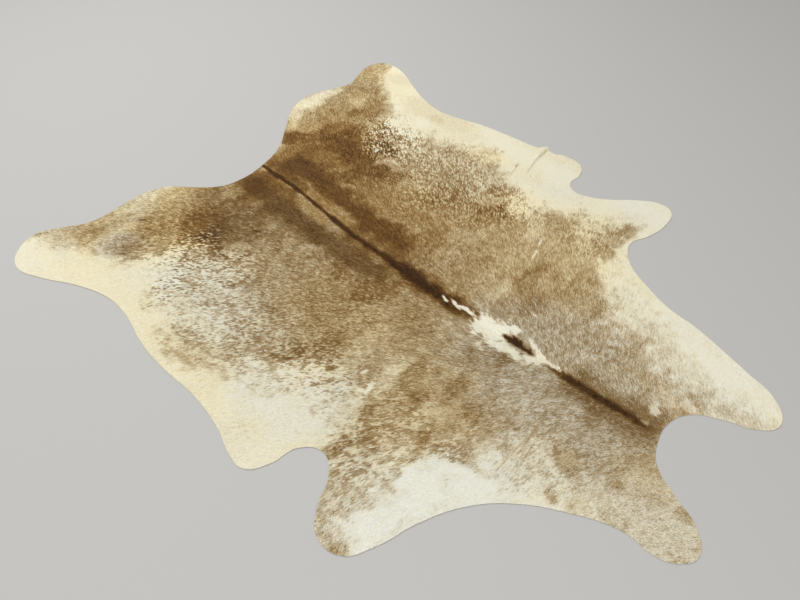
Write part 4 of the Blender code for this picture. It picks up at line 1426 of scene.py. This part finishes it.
def add_camera(studio):
    """Add the camera at the photo's angle."""
    camera = bpy.data.cameras.new("camera")
    camera.lens = studio.camera_lens
    camera.sensor_width = SENSOR_WIDTH
    camera.sensor_fit = "HORIZONTAL"
    camera.clip_start = NEAREST_SEEN
    holder = link_object("camera", camera)
    holder.location = studio.camera_place
    heading, pitch = studio.camera_heading, studio.camera_pitch
    level = math.cos(pitch)
    aim = Vector((math.cos(heading) * level, math.sin(heading) * level, -math.sin(pitch)))
    holder.rotation_mode = "QUATERNION"
    holder.rotation_quaternion = aim.to_track_quat("-Z", "Y")
    return holder


class Sizes(bpy.types.PropertyGroup):
    """Sizes of the leather and its hair."""

    leather_thickness: FloatProperty(
        name="Leather thickness", description="Thickness of the leather without its hair",
        default=0.0020, unit="LENGTH")
    point_spacing: FloatProperty(
        name="Point spacing", description="Distance between points on the plain sheet",
        default=0.013, unit="LENGTH")
    crease_spacing: FloatProperty(
        name="Crease spacing", description="Distance between points across a crease",
        default=0.006, unit="LENGTH")
    hair_length: FloatProperty(
        name="Hair length", description="Length of the hair on the body",
        default=0.0105, unit="LENGTH")
    hair_width: FloatProperty(
        name="Hair width", description="Width of one lock at its root",
        default=0.0018, unit="LENGTH")
    hair_lift: FloatProperty(
        name="Hair lift", description="Rise of the hair for each unit of its length",
        default=0.10)
    hair_scatter: FloatProperty(
        name="Hair scatter", description="How far hairs stray from the lay of the coat",
        default=0.16)
    hair_roll: FloatProperty(
        name="Hair roll", description="How far a lock rolls about its own length",
        default=math.radians(16), subtype="ANGLE")
    edge_overhang: FloatProperty(
        name="Edge overhang", description="How far the hair may reach past the cut edge",
        default=0.0012, unit="LENGTH")
    hairs_each_part: IntProperty(
        name="Hairs", description="Number of locks in each part of the coat",
        default=176000)


class Colours(bpy.types.PropertyGroup):
    """Colours of the coat, the leather and the floor."""

    grey_tint: FloatVectorProperty(
        name="Grey tint", description="Tint of the coolest hair", size=3,
        default=GREY_TINT, subtype="COLOR", soft_max=1.3)
    gold_tint: FloatVectorProperty(
        name="Gold tint", description="Tint of the warmest hair", size=3,
        default=GOLD_TINT, subtype="COLOR", soft_max=1.3)
    suede_pale: FloatVectorProperty(
        name="Suede, pale", description="Pale nap of the underside", size=3,
        default=linear(206, 196, 180), subtype="COLOR")
    suede_deep: FloatVectorProperty(
        name="Suede, deep", description="Deep nap of the underside", size=3,
        default=linear(168, 153, 132), subtype="COLOR")
    edge_pale: FloatVectorProperty(
        name="Cut edge, pale", description="Pale fibres of the cut edge", size=3,
        default=linear(232, 226, 210), subtype="COLOR")
    edge_deep: FloatVectorProperty(
        name="Cut edge, deep", description="Deep fibres of the cut edge", size=3,
        default=linear(196, 182, 158), subtype="COLOR")
    floor: FloatVectorProperty(
        name="Floor", description="Colour of the plain floor", size=3,
        default=linear(184, 183, 180), subtype="COLOR")


class Studio(bpy.types.PropertyGroup):
    """Camera and lights."""

    camera_place: FloatVectorProperty(
        name="Camera place", description="Where the camera stands", size=3,
        default=(-1.0442, -0.8596, 1.5), subtype="XYZ", unit="LENGTH")
    camera_heading: FloatProperty(
        name="Camera heading", description="Angle of the view from +X towards +Y",
        default=math.radians(42.23), subtype="ANGLE")
    camera_pitch: FloatProperty(
        name="Camera pitch", description="Angle of the view below the horizon",
        default=math.radians(51.18), subtype="ANGLE")
    camera_lens: FloatProperty(
        name="Lens", description="Focal length on a 36 mm wide sensor, in millimetres",
        default=25.385)
    key_power: FloatProperty(
        name="Key light", description="Power of the soft main light", default=171.0,
        unit="POWER")
    fill_power: FloatProperty(
        name="Fill light", description="Power of the soft light opposite", default=63.0,
        unit="POWER")
    air_light: FloatProperty(
        name="Room light", description="Strength of the even light of the room",
        default=0.525)


class COWHIDE_OT_leather(bpy.types.Operator):
    """Build the leather sheet with its creases, its suede underside and its cut edge"""

    bl_idname = "cowhide.leather"
    bl_label = "Leather sheet"

    def execute(self, context):
        sizes = context.scene.cowhide_sizes
        colours = context.scene.cowhide_colours
        points = outline_points()
        inner = sheet_points(
            points, EdgeMap(points), sizes.point_spacing, sizes.crease_spacing)
        flat, faces = triangulated_sheet(points, inner)
        places = np.column_stack([flat, lift(flat[:, 0], flat[:, 1])])
        mesh = bpy.data.meshes.new("leather")
        mesh.from_pydata(places.tolist(), [], faces.tolist())
        mesh.materials.append(make_ground_material(make_colour_group(colours)))
        mesh.materials.append(make_suede_material(
            "suede_underside", colours.suede_pale, colours.suede_deep,
            nap_scale=420.0, nap_depth=0.0006))
        mesh.materials.append(make_suede_material(
            "cut_edge", colours.edge_pale, colours.edge_deep,
            nap_scale=900.0, nap_depth=0.0003))
        sheet = link_object("leather_blank", mesh)
        solidify = sheet.modifiers.new("Thickness", "SOLIDIFY")
        solidify.thickness = sizes.leather_thickness
        solidify.offset = 1.0
        solidify.material_offset = 1
        solidify.material_offset_rim = 2
        solid = plain_mesh(sheet)
        bpy.data.objects.remove(sheet)
        solid.name = "leather"
        x, y, _ = vertex_places(solid).T
        pigment, warmth = coat_colour(x, y, lay_angle(x, y), GROUND_GRAIN)
        add_numbers(solid, "pigment", pigment)
        add_numbers(solid, "warmth", warmth)
        map_sheet(solid)
        solid.shade_smooth()
        solid.set_sharp_from_angle(angle=SHARP_ANGLE)
        leather = link_object("leather", solid)
        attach(leather, BODY)
        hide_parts(NODE)
        context.scene["cowhide_area"] = float(sum(
            geometry.area_tri(*(Vector(flat[i]) for i in face)) for face in faces))
        return {"FINISHED"}


class COWHIDE_OT_coat(bpy.types.Operator):
    """Grow the coat of short hair on the leather, in parts from the tail to the neck"""

    bl_idname = "cowhide.coat"
    bl_label = "Coat of hair"

    def execute(self, context):
        sizes = context.scene.cowhide_sizes
        leather = bpy.data.objects["leather"]
        ground = top_faces(leather.data)
        edge_map = EdgeMap(outline_points())
        finish = make_hair_material(bpy.data.node_groups["hair_colour"])
        blade = make_blade(finish)
        tree = make_coat_tree()
        shared = {
            "Blade": blade,
            "Finish": finish,
            "Length": sizes.hair_length,
            "Width": sizes.hair_width,
            "Lift": sizes.hair_lift,
            "Scatter": sizes.hair_scatter,
            "Roll": sizes.hair_roll,
        }
        for number, (name, far, near) in enumerate(COAT_PARTS):
            patch, area = ground_part(ground, name, far, near)
            modifier = patch.modifiers.new("Coat", "NODES")
            modifier.node_group = tree
            own = {"Density": sizes.hairs_each_part / area, "Seed": SCATTER_SEED + number}
            for title, value in (shared | own).items():
                set_input(modifier, title, value)
            mesh = plain_mesh(patch)
            bpy.data.objects.remove(patch)
            trim_hair(mesh, edge_map, sizes)
            colour_hair(mesh, number)
            mesh.name = name
            part = link_object(name, mesh)
            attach(part, BODY)
        bpy.data.objects.remove(blade)
        return {"FINISHED"}


class COWHIDE_OT_studio(bpy.types.Operator):
    """Set up the floor, the lights and the camera"""

    bl_idname = "cowhide.studio"
    bl_label = "Studio"

    def execute(self, context):
        scene = context.scene
        studio = scene.cowhide_studio
        material, tree = new_material("studio_floor")
        set_shader(tree, {
            "Base Color": (*scene.cowhide_colours.floor, 1.0),
            "Roughness": 0.85,
            "Specular IOR Level": 0.2,
        })
        shape = bmesh.new()
        bmesh.ops.create_grid(shape, x_segments=1, y_segments=1, size=FLOOR_REACH)
        bmesh.ops.translate(shape, verts=shape.verts, vec=(0.0, 0.0, -FLOOR_GAP))
        mesh = mesh_from_shape("floor", shape)
        mesh.materials.append(material)
        link_object("floor", mesh)

        world = bpy.data.worlds.new("room")
        world.use_nodes = True
        set_inputs(world.node_tree, world.node_tree.nodes["Background"], {
            "Color": AIR_COLOUR,
            "Strength": studio.air_light,
        })
        scene.world = world
        for name, place, size, setting in LIGHTS:
            add_light(name, place, size, getattr(studio, setting))
        scene.camera = add_camera(studio)
        scene.view_settings.view_transform = "Standard"
        return {"FINISHED"}


class COWHIDE_PT_panel(bpy.types.Panel):
    """List the steps that build the hide"""

    bl_idname = "COWHIDE_PT_panel"
    bl_label = "Cowhide"
    bl_space_type = "VIEW_3D"
    bl_region_type = "UI"
    bl_category = "Cowhide"

    def draw(self, context):
        layout = self.layout
        for step in (COWHIDE_OT_leather, COWHIDE_OT_coat, COWHIDE_OT_studio):
            layout.operator(step.bl_idname)
        for group in ("cowhide_sizes", "cowhide_colours", "cowhide_studio"):
            settings = getattr(context.scene, group)
            box = layout.box()
            for name in settings.__annotations__:
                box.prop(settings, name)


CLASSES = (
    Sizes,
    Colours,
    Studio,
    COWHIDE_OT_leather,
    COWHIDE_OT_coat,
    COWHIDE_OT_studio,
    COWHIDE_PT_panel,
)


def register():
    """Register the classes and the scene's settings."""
    for cls in CLASSES:
        bpy.utils.register_class(cls)
    bpy.types.Scene.cowhide_sizes = PointerProperty(type=Sizes)
    bpy.types.Scene.cowhide_colours = PointerProperty(type=Colours)
    bpy.types.Scene.cowhide_studio = PointerProperty(type=Studio)


def unregister():
    """Remove the scene's settings and the classes."""
    del bpy.types.Scene.cowhide_studio
    del bpy.types.Scene.cowhide_colours
    del bpy.types.Scene.cowhide_sizes
    for cls in reversed(CLASSES):
        bpy.utils.unregister_class(cls)


def main():
    register()
    bpy.ops.cowhide.leather()
    bpy.ops.cowhide.coat()
    bpy.ops.cowhide.studio()


if __name__ == "__main__":
    main()
